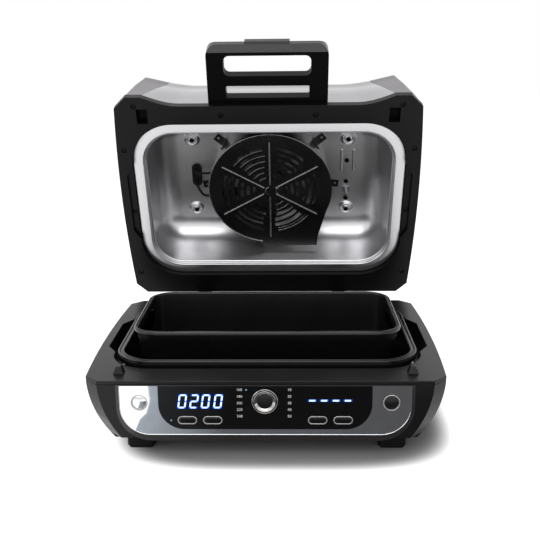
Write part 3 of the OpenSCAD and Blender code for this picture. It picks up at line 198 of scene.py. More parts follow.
class Surface(NodeGraph):
    """The nodes of one material, with a Principled shader at their end."""

    def __init__(self, name: str) -> None:
        """Makes an empty material and reads Object coordinates.

        Args:
            name: Name of the material.
        """
        self.material = bpy.data.materials.new(name)
        self.material.use_nodes = True
        super().__init__(self.material.node_tree)
        self.shader = self.tree.nodes["Principled BSDF"]
        self.place = self.node("ShaderNodeTexCoord", out="Object")

    def noise(self, scale: float, detail: float = 2.0, stretch: Point = (1.0, 1.0, 1.0)) -> Signal:
        """Adds a noise pattern.

        Args:
            scale: Waves per metre.
            detail: Number of finer layers.
            stretch: Scale along each axis, for streaks.

        Returns:
            The noise, about 0.5.
        """
        place = self.node("ShaderNodeMapping", None, {"Vector": self.place, "Scale": stretch})
        values = {"Vector": place, "Scale": scale, "Detail": detail}
        return self.node("ShaderNodeTexNoise", None, values)

    def cells(self, scale: float) -> Signal:
        """Adds a pattern of cells and returns a shade for each cell."""
        return self.node("ShaderNodeTexVoronoi", None, {"Vector": self.place, "Scale": scale}, "Color")

    def along(self, axis: str) -> Signal:
        """Returns the place along one axis."""
        return self.node("ShaderNodeSeparateXYZ", None, {0: self.place}, axis)

    def mix(self, factor: Signal, first: Colour | Signal, second: Colour | Signal) -> Signal:
        """Mixes two colours by a signal."""
        values = {0: factor, 6: first, 7: second}
        return self.node("ShaderNodeMix", {"data_type": "RGBA"}, values, 2)

    def bump(self, height: Signal, distance: float) -> Signal:
        """Adds a bump of a real height."""
        return self.node("ShaderNodeBump", None, {"Height": height, "Distance": distance})

    def shade(self, values: dict[str, object]) -> None:
        """Sets or links sockets of the Principled shader."""
        for key, value in values.items():
            self._feed(self.shader.inputs[key], value)

    def show(self, shader: Signal) -> bpy.types.Material:
        """Shows another shader in place of the Principled one and returns the material."""
        self._feed(self.tree.nodes["Material Output"].inputs["Surface"], shader)
        return self.material


@dataclass(frozen=True)
class Finish:
    """A finish that makes its material once. Patterns are in waves per metre."""

    name: str
    colour: Colour
    roughness: float

    def material(self) -> bpy.types.Material:
        """Makes the material on first use, under a name that no material of the frame has.

        Returns:
            The material.
        """
        title = self.name + "_finish"
        made = bpy.data.materials.get(title)
        if made is None:
            surface = Surface(title)
            self.paint(surface)
            made = surface.material
        return made

    def shades(self, surface: Surface, mask: Signal, low: float, high: float) -> Signal:
        """Mixes two shades of the finish's colour by a mask."""
        return surface.mix(mask, scaled(self.colour, low), scaled(self.colour, high))

    def uneven(self, *layers: tuple[Signal, float]) -> Signal:
        """Varies the roughness by patterns about 0.5.

        Args:
            layers: Patterns, each with its strength.

        Returns:
            The roughness over the surface.
        """
        rough = self.roughness
        for pattern, strength in layers:
            rough = rough + (pattern - 0.5) * strength
        return rough

    def paint(self, surface: Surface) -> None:
        """Lays the finish on an empty material."""
        raise NotImplementedError


@dataclass(frozen=True)
class MouldedPlastic(Finish):
    """Moulded plastic with a fine grain and an uneven sheen."""

    grain: float = 1500.0
    depth: float = 0.06 * MM
    haze: float = 0.16
    sheen: float = 0.35
    grain_haze: float = 0.12
    patch: float = 16.0
    patch_shades: Pair = (0.82, 1.2)
    speck_shade: float = 1.45

    def paint(self, surface: Surface) -> None:
        """Lays a grained plastic with slightly handled patches.

        Args:
            surface: The empty material.
        """
        grain = surface.noise(self.grain, detail=3)
        patches = surface.noise(self.patch, detail=4)
        tone = self.shades(surface, patches.rise(0.25, 0.75), *self.patch_shades)
        speck = surface.mix(grain.rise(0.55, 0.8), tone, scaled(self.colour, self.speck_shade))
        rough = self.uneven((patches, self.haze), (grain, self.grain_haze))
        surface.shade({"Base Color": speck, "Roughness": rough, "Specular IOR Level": self.sheen,
                       "Normal": surface.bump(grain, self.depth)})


@dataclass(frozen=True)
class DrawnSteel(Finish):
    """Satin sheet steel with a fine pearl grain and faint drawing marks."""

    grain: float = 2600.0
    depth: float = 0.006 * MM
    mottle: float = 38.0
    mottle_shades: Pair = (0.96, 1.03)
    fleck_shade: float = 0.93
    streak: float = 420.0
    stretch: Point = (1.0, 1.0, 0.05)

    def paint(self, surface: Surface) -> None:
        """Lays a bare metal whose sheen is mottled.

        Args:
            surface: The empty material.
        """
        grain = surface.noise(self.grain)
        mottle = surface.noise(self.mottle, detail=5)
        streaks = surface.noise(self.streak, stretch=self.stretch)
        tone = self.shades(surface, mottle.rise(0.2, 0.8), *self.mottle_shades)
        fleck = surface.mix(grain.rise(0.35, 0.75), scaled(self.colour, self.fleck_shade), tone)
        rough = self.uneven((mottle, 0.05), (streaks, 0.03), (grain, 0.04))
        surface.shade({"Base Color": fleck, "Metallic": 1.0, "Roughness": rough,
                       "Normal": surface.bump(grain + streaks * 0.5, self.depth)})


@dataclass(frozen=True)
class MirrorChrome(Finish):
    """Bright plating with a trace of waviness and handling marks."""

    wave: float = 17.0
    depth: float = 0.12 * MM
    mark: float = 95.0
    mark_shades: Pair = (0.94, 1.0)
    mark_haze: float = 0.05

    def paint(self, surface: Surface) -> None:
        """Lays a mirror that is not quite flat.

        Args:
            surface: The empty material.
        """
        waves = surface.noise(self.wave, detail=1)
        marks = surface.noise(self.mark, detail=4)
        tone = self.shades(surface, marks.rise(0.3, 0.7), *self.mark_shades)
        rough = self.roughness + marks.rise(0.5, 0.8) * self.mark_haze
        surface.shade({"Base Color": tone, "Metallic": 1.0, "Roughness": rough,
                       "Normal": surface.bump(waves, self.depth)})


@dataclass(frozen=True)
class GlossPlastic(Finish):
    """Polished plastic or acrylic with faint wipe marks."""

    sheen: float = 0.5
    mark: float = 60.0
    mark_shades: Pair = (0.8, 1.25)
    mark_haze: float = 0.08
    skin: float = 700.0
    depth: float = 0.004 * MM

    def paint(self, surface: Surface) -> None:
        """Lays a smooth dark gloss.

        Args:
            surface: The empty material.
        """
        marks = surface.noise(self.mark, detail=4)
        tone = self.shades(surface, marks.rise(0.3, 0.7), *self.mark_shades)
        rough = self.roughness + marks.rise(0.45, 0.8) * self.mark_haze
        surface.shade({"Base Color": tone, "Roughness": rough, "Specular IOR Level": self.sheen,
                       "Normal": surface.bump(surface.noise(self.skin), self.depth)})


@dataclass(frozen=True)
class SilverPaint(Finish):
    """Silver paint with fine flake."""

    metallic: float = 0.45
    coat: float = 0.3
    flake: float = 2400.0
    flake_shades: Pair = (0.9, 1.1)
    peel: float = 320.0
    depth: float = 0.012 * MM
    cloud: float = 9.0

    def paint(self, surface: Surface) -> None:
        """Lays flake under a clear coat.

        Args:
            surface: The empty material.
        """
        flake = surface.cells(self.flake)
        cloud = surface.noise(self.cloud, detail=3)
        tone = self.shades(surface, flake, *self.flake_shades)
        clouded = surface.mix(cloud.rise(0.3, 0.7), tone, self.colour)
        rough = self.uneven((flake, 0.08), (cloud, 0.06))
        surface.shade({"Base Color": clouded, "Metallic": self.metallic, "Roughness": rough,
                       "Normal": surface.bump(surface.noise(self.peel), self.depth),
                       "Coat Weight": self.coat})


@dataclass(frozen=True)
class NonstickCoat(Finish):
    """Dark nonstick coat with light specks and a pebbled skin."""

    sheen: float = 0.4
    pebble: float = 900.0
    depth: float = 0.02 * MM
    speck: float = 1300.0
    speck_share: float = 0.86
    speck_shade: float = 3.0
    patch: float = 22.0

    def paint(self, surface: Surface) -> None:
        """Lays a speckled satin coat.

        Args:
            surface: The empty material.
        """
        pebble = surface.noise(self.pebble, detail=3)
        patches = surface.noise(self.patch, detail=3)
        specks = (surface.cells(self.speck) - self.speck_share).rise(0.0, 0.08)
        surface.shade({"Base Color": self.shades(surface, specks, 1.0, self.speck_shade),
                       "Roughness": self.uneven((patches, 0.1), (pebble, 0.08)),
                       "Specular IOR Level": self.sheen, "Normal": surface.bump(pebble, self.depth)})


@dataclass(frozen=True)
class BareMetal(Finish):
    """Turned, cast or stamped metal with scratches and dull patches."""

    metallic: float = 1.0
    wear: float = 0.25
    patch: float = 130.0
    scratch: float = 1400.0
    stretch: Point = (1.0, 0.08, 1.0)
    depth: float = 0.015 * MM

    def paint(self, surface: Surface) -> None:
        """Lays a worn metal.

        Args:
            surface: The empty material.
        """
        patches = surface.noise(self.patch, detail=4)
        lines = surface.noise(self.scratch, stretch=self.stretch)
        tone = self.shades(surface, patches.rise(0.3, 0.75), 1 - self.wear, 1.0)
        rough = self.uneven((patches, 0.2), (lines, 0.12))
        surface.shade({"Base Color": tone, "Metallic": self.metallic, "Roughness": rough,
                       "Normal": surface.bump(lines, self.depth)})


@dataclass(frozen=True)
class Rubber(Finish):
    """Matt rubber with a dusty bloom."""

    sheen: float = 0.15
    bloom: float = 70.0
    bloom_shade: float = 2.2
    pit: float = 1900.0
    depth: float = 0.05 * MM

    def paint(self, surface: Surface) -> None:
        """Lays a dull dark skin.

        Args:
            surface: The empty material.
        """
        bloom = surface.noise(self.bloom, detail=4)
        surface.shade({"Base Color": self.shades(surface, bloom.rise(0.45, 0.8), 1.0, self.bloom_shade),
                       "Roughness": self.uneven((bloom, 0.2)), "Specular IOR Level": self.sheen,
                       "Normal": surface.bump(surface.noise(self.pit), self.depth)})


@dataclass(frozen=True)
class Laminate(Finish):
    """Circuit board with a solder mask over its tracks."""

    track: float = 260.0
    track_shade: float = 1.7
    stretch: Point = (1.0, 1.0, 0.2)
    depth: float = 0.04 * MM
    weave: float = 2200.0

    def paint(self, surface: Surface) -> None:
        """Lays tracks under a green mask.

        Args:
            surface: The empty material.
        """
        tracks = surface.noise(self.track, 0, self.stretch).rise(0.48, 0.52)
        weave = surface.noise(self.weave, detail=1)
        surface.shade({"Base Color": self.shades(surface, tracks, 1.0, self.track_shade),
                       "Roughness": self.uneven((weave, 0.2)),
                       "Normal": surface.bump(tracks, self.depth)})


@dataclass(frozen=True)
class Lamp(Finish):
    """Lit window of a display."""

    power: float = 2.0
    cloud: float = 500.0
    cloud_shades: Pair = (0.9, 1.0)
    unlit_shade: float = 0.1

    def paint(self, surface: Surface) -> None:
        """Lays an even light with a slightly cloudy diffuser.

        Args:
            surface: The empty material.
        """
        cloud = surface.noise(self.cloud).rise(0.2, 0.8)
        surface.shade({"Base Color": scaled(self.colour, self.unlit_shade), "Roughness": self.roughness,
                       "Emission Color": self.shades(surface, cloud, *self.cloud_shades),
                       "Emission Strength": self.power})


@dataclass(frozen=True)
class Glow(Finish):
    """Soft light that a lit window spreads in the panel, faded by the mesh's own attribute."""

    power: float = 1.0
    attribute: str = "glow"
    cloud: float = 900.0

    def paint(self, surface: Surface) -> None:
        """Lays a light that fades out towards the edge of its mesh.

        Args:
            surface: The empty material.
        """
        fade = surface.node("ShaderNodeAttribute", {"attribute_name": self.attribute}, None, "Fac")
        alpha = fade * fade * (0.75 + surface.noise(self.cloud) * 0.3)
        surface.shade({"Base Color": BLACK, "Roughness": self.roughness, "Alpha": alpha,
                       "Emission Color": self.colour, "Emission Strength": self.power})


class Look(Enum):
    """The finishes of the cooker, each with its name, its colour and its roughness."""

    CHARCOAL = MouldedPlastic("charcoal_plastic", srgb(19, 19, 20), 0.33, haze=0.1, sheen=0.22)
    FRAME_BLACK = MouldedPlastic("frame_black_plastic", srgb(12, 12, 13), 0.34,
                                 grain=1900.0, depth=0.04 * MM, haze=0.1, sheen=0.17)
    HANDLE_BLACK = MouldedPlastic("handle_black_plastic", srgb(8, 8, 9), 0.36,
                                  grain=2200.0, depth=0.03 * MM, sheen=0.04)
    GUARD = MouldedPlastic("guard_black_paint", srgb(15, 15, 16), 0.27,
                           grain=1700.0, depth=0.03 * MM, haze=0.12, sheen=0.6)
    MARK = MouldedPlastic("panel_mark", srgb(236, 238, 242), 0.5, grain=2500.0, depth=0.01 * MM)
    GRIP = GlossPlastic("grip_gloss", srgb(11, 11, 12), 0.26, sheen=0.3)
    BUTTON = GlossPlastic("button_black", srgb(24, 24, 26), 0.3, sheen=0.3)
    PANEL = GlossPlastic("panel_gloss_black", srgb(5, 5, 7), 0.06)
    GUNMETAL = SilverPaint("gunmetal_paint", srgb(62, 59, 58), 0.3, metallic=0.6, coat=0.15)
    TRIM = SilverPaint("bright_trim", srgb(206, 203, 201), 0.2, metallic=0.4, coat=0.5)
    SILVER_GLOSS = SilverPaint("silver_gloss_paint", srgb(156, 154, 158), 0.18, metallic=0.6, coat=0.6)
    SILVER_MATTE = SilverPaint("silver_matte_paint", srgb(116, 113, 117), 0.4, metallic=0.35, coat=0.1)
    CHROME = MirrorChrome("mirror_chrome", srgb(226, 228, 232), 0.045)
    SMOKED = MirrorChrome("smoked_chrome", srgb(172, 170, 168), 0.07)
    STEEL = DrawnSteel("satin_steel", srgb(208, 208, 210), 0.34)
    WELL_STEEL = DrawnSteel("well_steel", srgb(225, 225, 226), 0.22)
    ZINC = BareMetal("zinc_steel", srgb(176, 176, 178), 0.36)
    # Bright steel laid on the fan guard as painted highlights: its rib tops, the lit arcs of its rim and bosses,
    # and the lit edges of its slots.
    EDGE_STEEL = BareMetal("worn_edge_steel", srgb(146, 146, 148), 0.26)
    SCREW = BareMetal("black_screw", srgb(36, 36, 38), 0.26)
    ALLOY = BareMetal("cast_alloy", srgb(150, 150, 153), 0.5)
    FAN_METAL = BareMetal("fan_metal", srgb(140, 140, 143), 0.32)
    SHEATH = BareMetal("heater_sheath", srgb(74, 69, 66), 0.45, metallic=0.8, wear=0.5)
    BRASS = BareMetal("brass_bush", srgb(190, 150, 82), 0.34)
    NONSTICK = NonstickCoat("nonstick_coat", srgb(13, 13, 14), 0.2)
    RUBBER = Rubber("black_rubber", srgb(14, 14, 15), 0.62)
    LEAD = Rubber("lead_sleeve", srgb(14, 14, 15), 0.42)
    BOARD = Laminate("board_laminate", srgb(30, 88, 56), 0.4)
    LED = Lamp("display_light", (0.55, 0.78, 1.0, 1.0), 0.3, power=1.9)
    PILOT = Lamp("pilot_light", (0.24, 0.42, 0.56, 1.0), 0.3, power=0.8)
    HALO = Glow("display_glow", (0.005, 0.12, 1.0, 1.0), 0.5, power=1.5)

    def material(self) -> bpy.types.Material:
        """Returns the finish's material."""
        return self.value.material()


# A node whose edges are rounded, with its finish, the width of the rounding and the facets across it.
Shell = tuple[str, Look, float, int]


class Bench:
    """Makes mesh objects and puts finished pieces on their bodies."""

    def __init__(self, record: dict) -> None:
        """Reads each node's body and material slot from the record."""
        self.body_of = {n: b for b, members in record["behaviour"]["bodies"].items() for n in members}
        self.slot_of = {s["node"]: s["material_slot"] for s in record["subparts"]}

    @staticmethod
    def piece(name: str, verts: Sequence[Point], faces: Sequence[Sequence[int]]) -> Piece:
        """Makes a linked object from points and faces.

        Args:
            name: Name of the object and its mesh.
            verts: Points of the mesh.
            faces: Faces as lists of point numbers.

        Returns:
            The new object.
        """
        mesh = bpy.data.meshes.new(name)
        mesh.from_pydata([tuple(v) for v in verts], [], [list(f) for f in faces])
        return Bench.link(name, mesh)

    @staticmethod
    def link(name: str, data: bpy.types.ID) -> Piece:
        """Puts a mesh, a curve, a camera or a light in the scene as an object at the origin.

        Args:
            name: Name of the object.
            data: What the object shows.

        Returns:
            The new object.
        """
        made = bpy.data.objects.new(name, data)
        bpy.context.scene.collection.objects.link(made)
        return made

    @staticmethod
    def edit(made: Piece, change: Callable[[bmesh.types.BMesh], None]) -> None:
        """Runs a change on an object's mesh through bmesh.

        Args:
            made: The object.
            change: The change.
        """
        work = bmesh.new()
        work.from_mesh(made.data)
        change(work)
        work.to_mesh(made.data)
        work.free()
        made.data.update()

    @staticmethod
    def clean(made: Piece, turn: bool = True) -> Piece:
        """Merges doubled points and, if asked, points all faces outwards.

        Args:
            made: The object to clean.
            turn: Whether to work out which way faces point.

        Returns:
            The same object.
        """
        def change(work: bmesh.types.BMesh) -> None:
            """Merges and turns.

            Args:
                work: The object's mesh.
            """
            bmesh.ops.remove_doubles(work, verts=work.verts, dist=MERGE)
            if turn:
                bmesh.ops.recalc_face_normals(work, faces=work.faces)

        Bench.edit(made, change)
        return made

    @staticmethod
    def cap(made: Piece, count: int) -> Piece:
        """Closes the last ring of a skin with one face, given the number of points in a ring."""
        Bench.edit(made, lambda work: work.faces.new(list(work.verts)[-count:]))
        return made

    @staticmethod
    def smooth(made: Piece, angle: float = 32.0) -> Piece:
        """Shades an object smooth, apart from its sharp edges.

        Args:
            made: The object.
            angle: Least angle between the faces at a sharp edge, in degrees.

        Returns:
            The same object.
        """
        made.data.polygons.foreach_set("use_smooth", [True] * len(made.data.polygons))
        made.data.set_sharp_from_angle(angle=radians(angle))
        return made

    @staticmethod
    def soften(made: Piece, width: float, steps: int = 2, angle: float = 32.0,
               above: float | None = None) -> Piece:
        """Rounds the sharp edges of an object.

        Args:
            made: The object.
            width: Width of the rounding.
            steps: Number of facets across it.
            angle: Least angle between faces, in degrees, that gets rounded.
            above: Height of the edges that alone are rounded, at the full width. None rounds all sharp edges.

        Returns:
            The same object.
        """
        def mark(work: bmesh.types.BMesh) -> None:
            """Gives the sharp edges above the height their weight.

            Args:
                work: The object's mesh.
            """
            weight = work.edges.layers.float.new("bevel_weight_edge")
            for edge in work.edges:
                folded = edge.is_manifold and edge.calc_face_angle() > radians(angle)
                edge[weight] = float(folded and min(v.co.z for v in edge.verts) > above)

        if above is not None:
            Bench.edit(made, mark)
        bevel = made.modifiers.new("edges", "BEVEL")
        bevel.width = width
        bevel.segments = steps
        bevel.limit_method = "ANGLE" if above is None else "WEIGHT"
        bevel.angle_limit = radians(angle)
        bevel.harden_normals = True
        bevel.use_clamp_overlap = above is None
        return made

    @staticmethod
    def thicken(made: Piece, wall: float, side: int, even: bool) -> Piece:
        """Gives a sheet its wall.

        Args:
            made: The sheet.
            wall: Thickness of the wall.
            side: 1 to build it up outwards, -1 inwards.
            even: Whether the wall is as thick at bends as elsewhere.

        Returns:
            The same object.
        """
        solid = made.modifiers.new("wall", "SOLIDIFY")
        solid.thickness = wall
        solid.offset = side
        solid.use_even_offset = even
        return Bench.settle(made)

    @staticmethod
    def settle(made: Piece) -> Piece:
        """Turns an object's modifiers into plain mesh.

        Args:
            made: The object.

        Returns:
            The same object.
        """
        mesh = Bench.evaluated(made)
        old = made.data
        made.modifiers.clear()
        made.data = mesh
        mesh.name = made.name
        bpy.data.meshes.remove(old)
        return made

    @staticmethod
    def evaluated(made: Piece) -> bpy.types.Mesh:
        """Returns an object's shape with its modifiers applied, as a new mesh."""
        bpy.context.view_layer.update()
        return bpy.data.meshes.new_from_object(made.evaluated_get(bpy.context.evaluated_depsgraph_get()))

    @staticmethod
    def cut(made: Piece, tool: Piece) -> Piece:
        """Takes a tool's shape out of an object and deletes the tool.

        Args:
            made: The object.
            tool: The tool.

        Returns:
            The same object.
        """
        saw = made.modifiers.new("cut", "BOOLEAN")
        saw.operation = "DIFFERENCE"
        saw.solver = "EXACT"
        saw.object = tool
        Bench.settle(made)
        bpy.data.objects.remove(tool)
        return made

    @staticmethod
    def joined(name: str, parts: Sequence[Piece]) -> Piece:
        """Joins objects into one and deletes the originals.

        Args:
            name: Name of the joined object.
            parts: Objects at the origin.

        Returns:
            The new object.
        """
        work = bmesh.new()
        for part in parts:
            work.from_mesh(part.data)
        mesh = bpy.data.meshes.new(name)
        work.to_mesh(mesh)
        work.free()
        for part in parts:
            bpy.data.objects.remove(part)
        return Bench.link(name, mesh)

    def copied(self, node: str, name: str) -> Piece:
        """Copies a frame node's shape as a merged mesh with flat areas made whole.

        Args:
            node: The node to copy.
            name: Name of the copy.

        Returns:
            The copy.
        """
        source = frame["nodes"][node].data
        made = self.piece(name, [v.co for v in source.vertices], [p.vertices for p in source.polygons])

        def change(work: bmesh.types.BMesh) -> None:
            """Merges loose triangles and dissolves edges inside flat areas.

            Args:
                work: The copy's mesh.
            """
            bmesh.ops.remove_doubles(work, verts=work.verts, dist=MERGE)
            bmesh.ops.dissolve_limit(work, angle_limit=radians(0.2), verts=work.verts,
                                     edges=work.edges, use_dissolve_boundaries=False)

        self.edit(made, change)
        return made

    @staticmethod
    def paint(made: Piece, look: Look) -> None:
        """Gives an object a finish as its only material."""
        made.data.materials.clear()
        made.data.materials.append(look.material())

    def attach(self, made: Piece, look: Look, node: str) -> Piece:
        """Gives a piece its finish and puts it on the body of a node.

        Args:
            made: The piece.
            look: Its finish.
            node: The node that carries it, or that it stands for.

        Returns:
            The piece.
        """
        self.paint(made, look)
        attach(made, self.body_of[node])
        LOG.info("%s rides with %s", made.name, node)
        return made

    def dress(self, made: Piece, look: Look, node: str) -> Piece:
        """Gives a piece its finish and puts it in the place of a frame node.

        Args:
            made: The piece.
            look: Its finish.
            node: The node that it stands for.

        Returns:
            The piece.
        """
        self.attach(made, look, node)
        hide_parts(node)
        return made

    def shell(self, node: str, look: Look, width: float, steps: int = 2,
              above: float | None = None) -> Piece:
        """Replaces a node with a copy whose edges are rounded.

        Args:
            node: The node.
            look: Its finish.
            width: Width of the rounding.
            steps: Facets across it.
            above: Height of the edges that alone are rounded, or None for all.

        Returns:
            The copy.
        """
        made = self.smooth(self.copied(node, node + "_shell"))
        return self.dress(self.soften(made, width, steps, above=above), look, node)

    def shells(self, rows: Iterable[Shell]) -> None:
        """Replaces several nodes with copies whose edges are rounded."""
        for node, look, width, steps in rows:
            self.shell(node, look, width, steps)

    def keep(self, look: Look, *nodes: str) -> None:
        """Gives a finish to nodes that show as they are.

        Args:
            look: The finish.
            nodes: The nodes.
        """
        for node in nodes:
            self.paint(frame["nodes"][node], look)
            LOG.info("%s keeps its shape", node)


def turns(steps: int) -> list[float]:
    """Returns the angles that divide a full turn into equal steps."""
    return [2 * pi * j / steps for j in range(steps)]


def filleted(corners: Sequence[Corner], steps: int = 6) -> list[Pair]:
    """Rounds the corners of an open line.

    Args:
        corners: Points with the radius of the round at each.
        steps: Facets in each round.

    Returns:
        The points of the rounded line.
    """
    line: list[Pair] = []
    last = len(corners) - 1
    for i, (x, y, radius) in enumerate(corners):
        here = Vector((x, y))
        if radius <= 0 or i in (0, last):
            line.append((x, y))
            continue
        back = (Vector(corners[i - 1][:2]) - here).normalized()
        ahead = (Vector(corners[i + 1][:2]) - here).normalized()
        half = back.angle(ahead) / 2
        middle = here + (back + ahead).normalized() * (radius / sin(half))
        start = here + back * (radius / tan(half)) - middle
        end = here + ahead * (radius / tan(half)) - middle
        sweep = start.angle_signed(end)
        for k in range(steps + 1):
            turn = Matrix.Rotation(-sweep * k / steps, 2)
            line.append(tuple(middle + turn @ start))
    return line


def rounded_ring(half_x: float, half_y: float, radius: float, z: float, steps: int) -> list[Point]:
    """Returns the points of a rounded rectangle at a height, anticlockwise.

    Args:
        half_x: Half of its width.
        half_y: Half of its depth.
        radius: Radius of its corners.
        z: Height.
        steps: Facets in each corner.

    Returns:
        The ring's points.
    """
    ring = []
    for quarter in range(4):
        sx = 1 if quarter in (0, 3) else -1
        sy = 1 if quarter < 2 else -1
        for i in range(steps + 1):
            a = pi / 2 * (quarter + i / steps)
            ring.append((sx * (half_x - radius) + radius * cos(a),
                         sy * (half_y - radius) + radius * sin(a), z))
    return ring


def pill_outline(length: float, height: float, steps: int) -> list[Pair]:
    """Returns the outline of a bar with round ends about its middle.

    Args:
        length: Its length.
        height: Its height.
        steps: Number of points.

    Returns:
        The points, anticlockwise.
    """
    radius = height / 2
    reach = length / 2 - radius
    outline = []
    for i in range(steps):
        a = 2 * pi * (i + 0.5) / steps
        end = reach if cos(a) >= 0 else -reach
        outline.append((end + radius * cos(a), radius * sin(a)))
    return outline


def lofted(name: str, rings: Sequence[Sequence[Point]], closed: bool = False) -> Piece:
    """Skins rings that have the same number of points.

    Args:
        name: Name of the object.
        rings: The rings, in order.
        closed: Whether the first and last ring are closed by faces.

    Returns:
        The skinned object.
    """
    count = len(rings[0])
    faces = []
    for start in range(0, (len(rings) - 1) * count, count):
        for j in range(count):
            k = (j + 1) % count
            faces.append([start + j, start + k, start + count + k, start + count + j])
    if closed:
        faces.append(list(range(count)))
        faces.append([(len(rings) - 1) * count + j for j in range(count)])
    return Bench.piece(name, [p for ring in rings for p in ring], faces)


def basin(name: str, box: tuple[Vector, Vector], profile: Sequence[Pair], radius: float, least: float,
          steps: int, closed: bool) -> Piece:
    """Skins a vessel from rounded rectangles that follow a profile.

    Args:
        name: Name of the object.
        box: Corners of the box whose plan the vessel fills.
        profile: Insets from the rim and heights, in millimetres.
        radius: Corner radius at the rim.
        least: Least corner radius.
        steps: Facets in each corner.
        closed: Whether the first and last ring are closed by faces.

    Returns:
        The vessel.
    """
    low, high = box
    half_y = (high.y - low.y) / 2
    rings = []
    for inset, height in profile:
        p = inset * MM
        rings.append(rounded_ring(high.x - p, half_y - p, max(radius - p, least), height * MM, steps))
    made = lofted(name, rings, closed)
    made.data.transform(Matrix.Translation((0, (high.y + low.y) / 2, 0)))
    return made


def turned(name: str, profile: Sequence[Pair], place: Matrix, steps: int = 64,
           hollow: bool = False) -> Piece:
    """Turns a profile about the Z axis of a place.

    Args:
        name: Name of the object.
        profile: Radii and heights, from one end of the axis to the other.
        place: Where the axis stands.
        steps: Facets round the axis.
        hollow: Whether the profile's two ends are joined to each other, as in a ring.

    Returns:
        The turned object.
    """
    rings = []
    for r, z in profile:
        radius = max(r, AXIS_RADIUS)
        rings.append([(radius * cos(a), radius * sin(a), z) for a in turns(steps)])
    made = lofted(name, [*rings, rings[0]] if hollow else rings, not hollow)
    made.data.transform(place)
    return Bench.clean(made)


def piped(name: str, route: Sequence[Point], radius: float, sides: int = 14,
          steps: int = 6) -> Piece:
    """Sweeps a round wire along a smooth curve through points.

    Args:
        name: Name of the object.
        route: Points that the wire passes through.
        radius: Radius of the wire.
        sides: Facets round it.
        steps: Stretches between two points.

    Returns:
        The wire.
    """
    points = [Vector(p) for p in route]
    line = []
    for i in range(len(points) - 1):
        before, a, b = points[max(i - 1, 0)], points[i], points[i + 1]
        after = points[min(i + 2, len(points) - 1)]
        for k in range(steps):
            t = k / steps
            line.append(0.5 * (2 * a + (b - before) * t + (2 * before - 5 * a + 4 * b - after) * t * t
                               + (3 * a - before - 3 * b + after) * t ** 3))
    line.append(points[-1])
    rings = []
    start = (line[1] - line[0]).normalized()
    side = Vector((1.0, 0.0, 0.0)) if abs(start.y) > 0.9 else Vector((0.0, 1.0, 0.0))
    for i, here in enumerate(line):
        ahead = (line[min(i + 1, len(line) - 1)] - line[max(i - 1, 0)]).normalized()
        side = (side - ahead * side.dot(ahead)).normalized()
        up = ahead.cross(side)
        rings.append([tuple(here + radius * (cos(a) * side + sin(a) * up)) for a in turns(sides)])
    return Bench.clean(lofted(name, rings, True))


def facing(x: float, y: float, z: float) -> Matrix:
    """Returns a place whose Z axis points to the front of the cooker."""
    return Matrix.Translation((x, y, z)) @ Matrix.Rotation(pi / 2, 4, "X")


class Grower(NodeGraph):
    """A Geometry Nodes tree with named sizes, which ends in Realize Instances and Set Material."""

    def __init__(self, name: str, sizes: Sequence[str], counts: Sequence[str] = ()) -> None:
        """Makes the tree's inputs.

        Args:
            name: Name of the tree.
            sizes: Names of the inputs that are lengths or angles.
            counts: Names of the inputs that are whole numbers.
        """
        super().__init__(bpy.data.node_groups.new(name, "GeometryNodeTree"))
        interface = self.tree.interface
        interface.new_socket("Geometry", in_out="OUTPUT", socket_type="NodeSocketGeometry")
        kinds = {"Geometry": "NodeSocketGeometry", **dict.fromkeys(sizes, "NodeSocketFloat"),
                 **dict.fromkeys(counts, "NodeSocketInt"), "Finish": "NodeSocketMaterial"}
        self.keys = {label: interface.new_socket(label, in_out="INPUT", socket_type=kind).identifier
                     for label, kind in kinds.items()}
        self.entry = self.tree.nodes.new("NodeGroupInput")

    def size(self, label: str) -> Signal:
        """Returns one of the tree's inputs."""
        return Signal(self, self.entry.outputs[label])

    def vector(self, **axes: Signal | float) -> Signal:
        """Joins values for X, Y and Z into a vector."""
        return self.node("ShaderNodeCombineXYZ", None, axes)

    def solid(self, kind: str, values: dict[str, object]) -> Signal:
        """Adds a mesh of a plain kind, such as a cylinder."""
        return self.node("GeometryNodeMesh" + kind, None, values, "Mesh")

    def moved(self, shape: Signal, **values: Signal | Point) -> Signal:
        """Moves a shape by its Translation and Rotation."""
        return self.node("GeometryNodeTransform", None, {"Geometry": shape, **values})

    def spread(self, points: Signal, shape: Signal, **values: Signal) -> Signal:
        """Puts a shape on each point, with its Rotation where it has one."""
        sockets = {"Points": points, "Instance": shape, **values}
        return self.node("GeometryNodeInstanceOnPoints", None, sockets)

    def end(self, shape: Signal, **values: Signal) -> "Grower":
        """Puts a shape on each point that the tree is given, and closes the tree.

        Args:
            shape: The shape.
            values: Its Rotation, where it has one.

        Returns:
            The tree.
        """
        placed = self.spread(self.size("Geometry"), shape, **values)
        real = self.node("GeometryNodeRealizeInstances", None, {0: placed})
        sockets = {"Geometry": real, "Material": self.size("Finish")}
        dressed = self.node("GeometryNodeSetMaterial", None, sockets)
        self._feed(self.tree.nodes.new("NodeGroupOutput").inputs[0], dressed)
        return self

    def grow(self, name: str, points: Sequence[Point], look: Look,
             values: dict[str, object]) -> Piece:
        """Runs the tree on points and returns a plain mesh.

        Args:
            name: Name of the object.
            points: Where the instances go.
            look: The finish.
            values: A value for each named input.

        Returns:
            The grown object, with no modifier.
        """
        made = Bench.piece(name, points, [])
        modifier = made.modifiers.new("grow", "NODES")
        modifier.node_group = self.tree
        for label, value in {**values, "Finish": look.material()}.items():
            modifier[self.keys[label]] = value
        return Bench.settle(made)


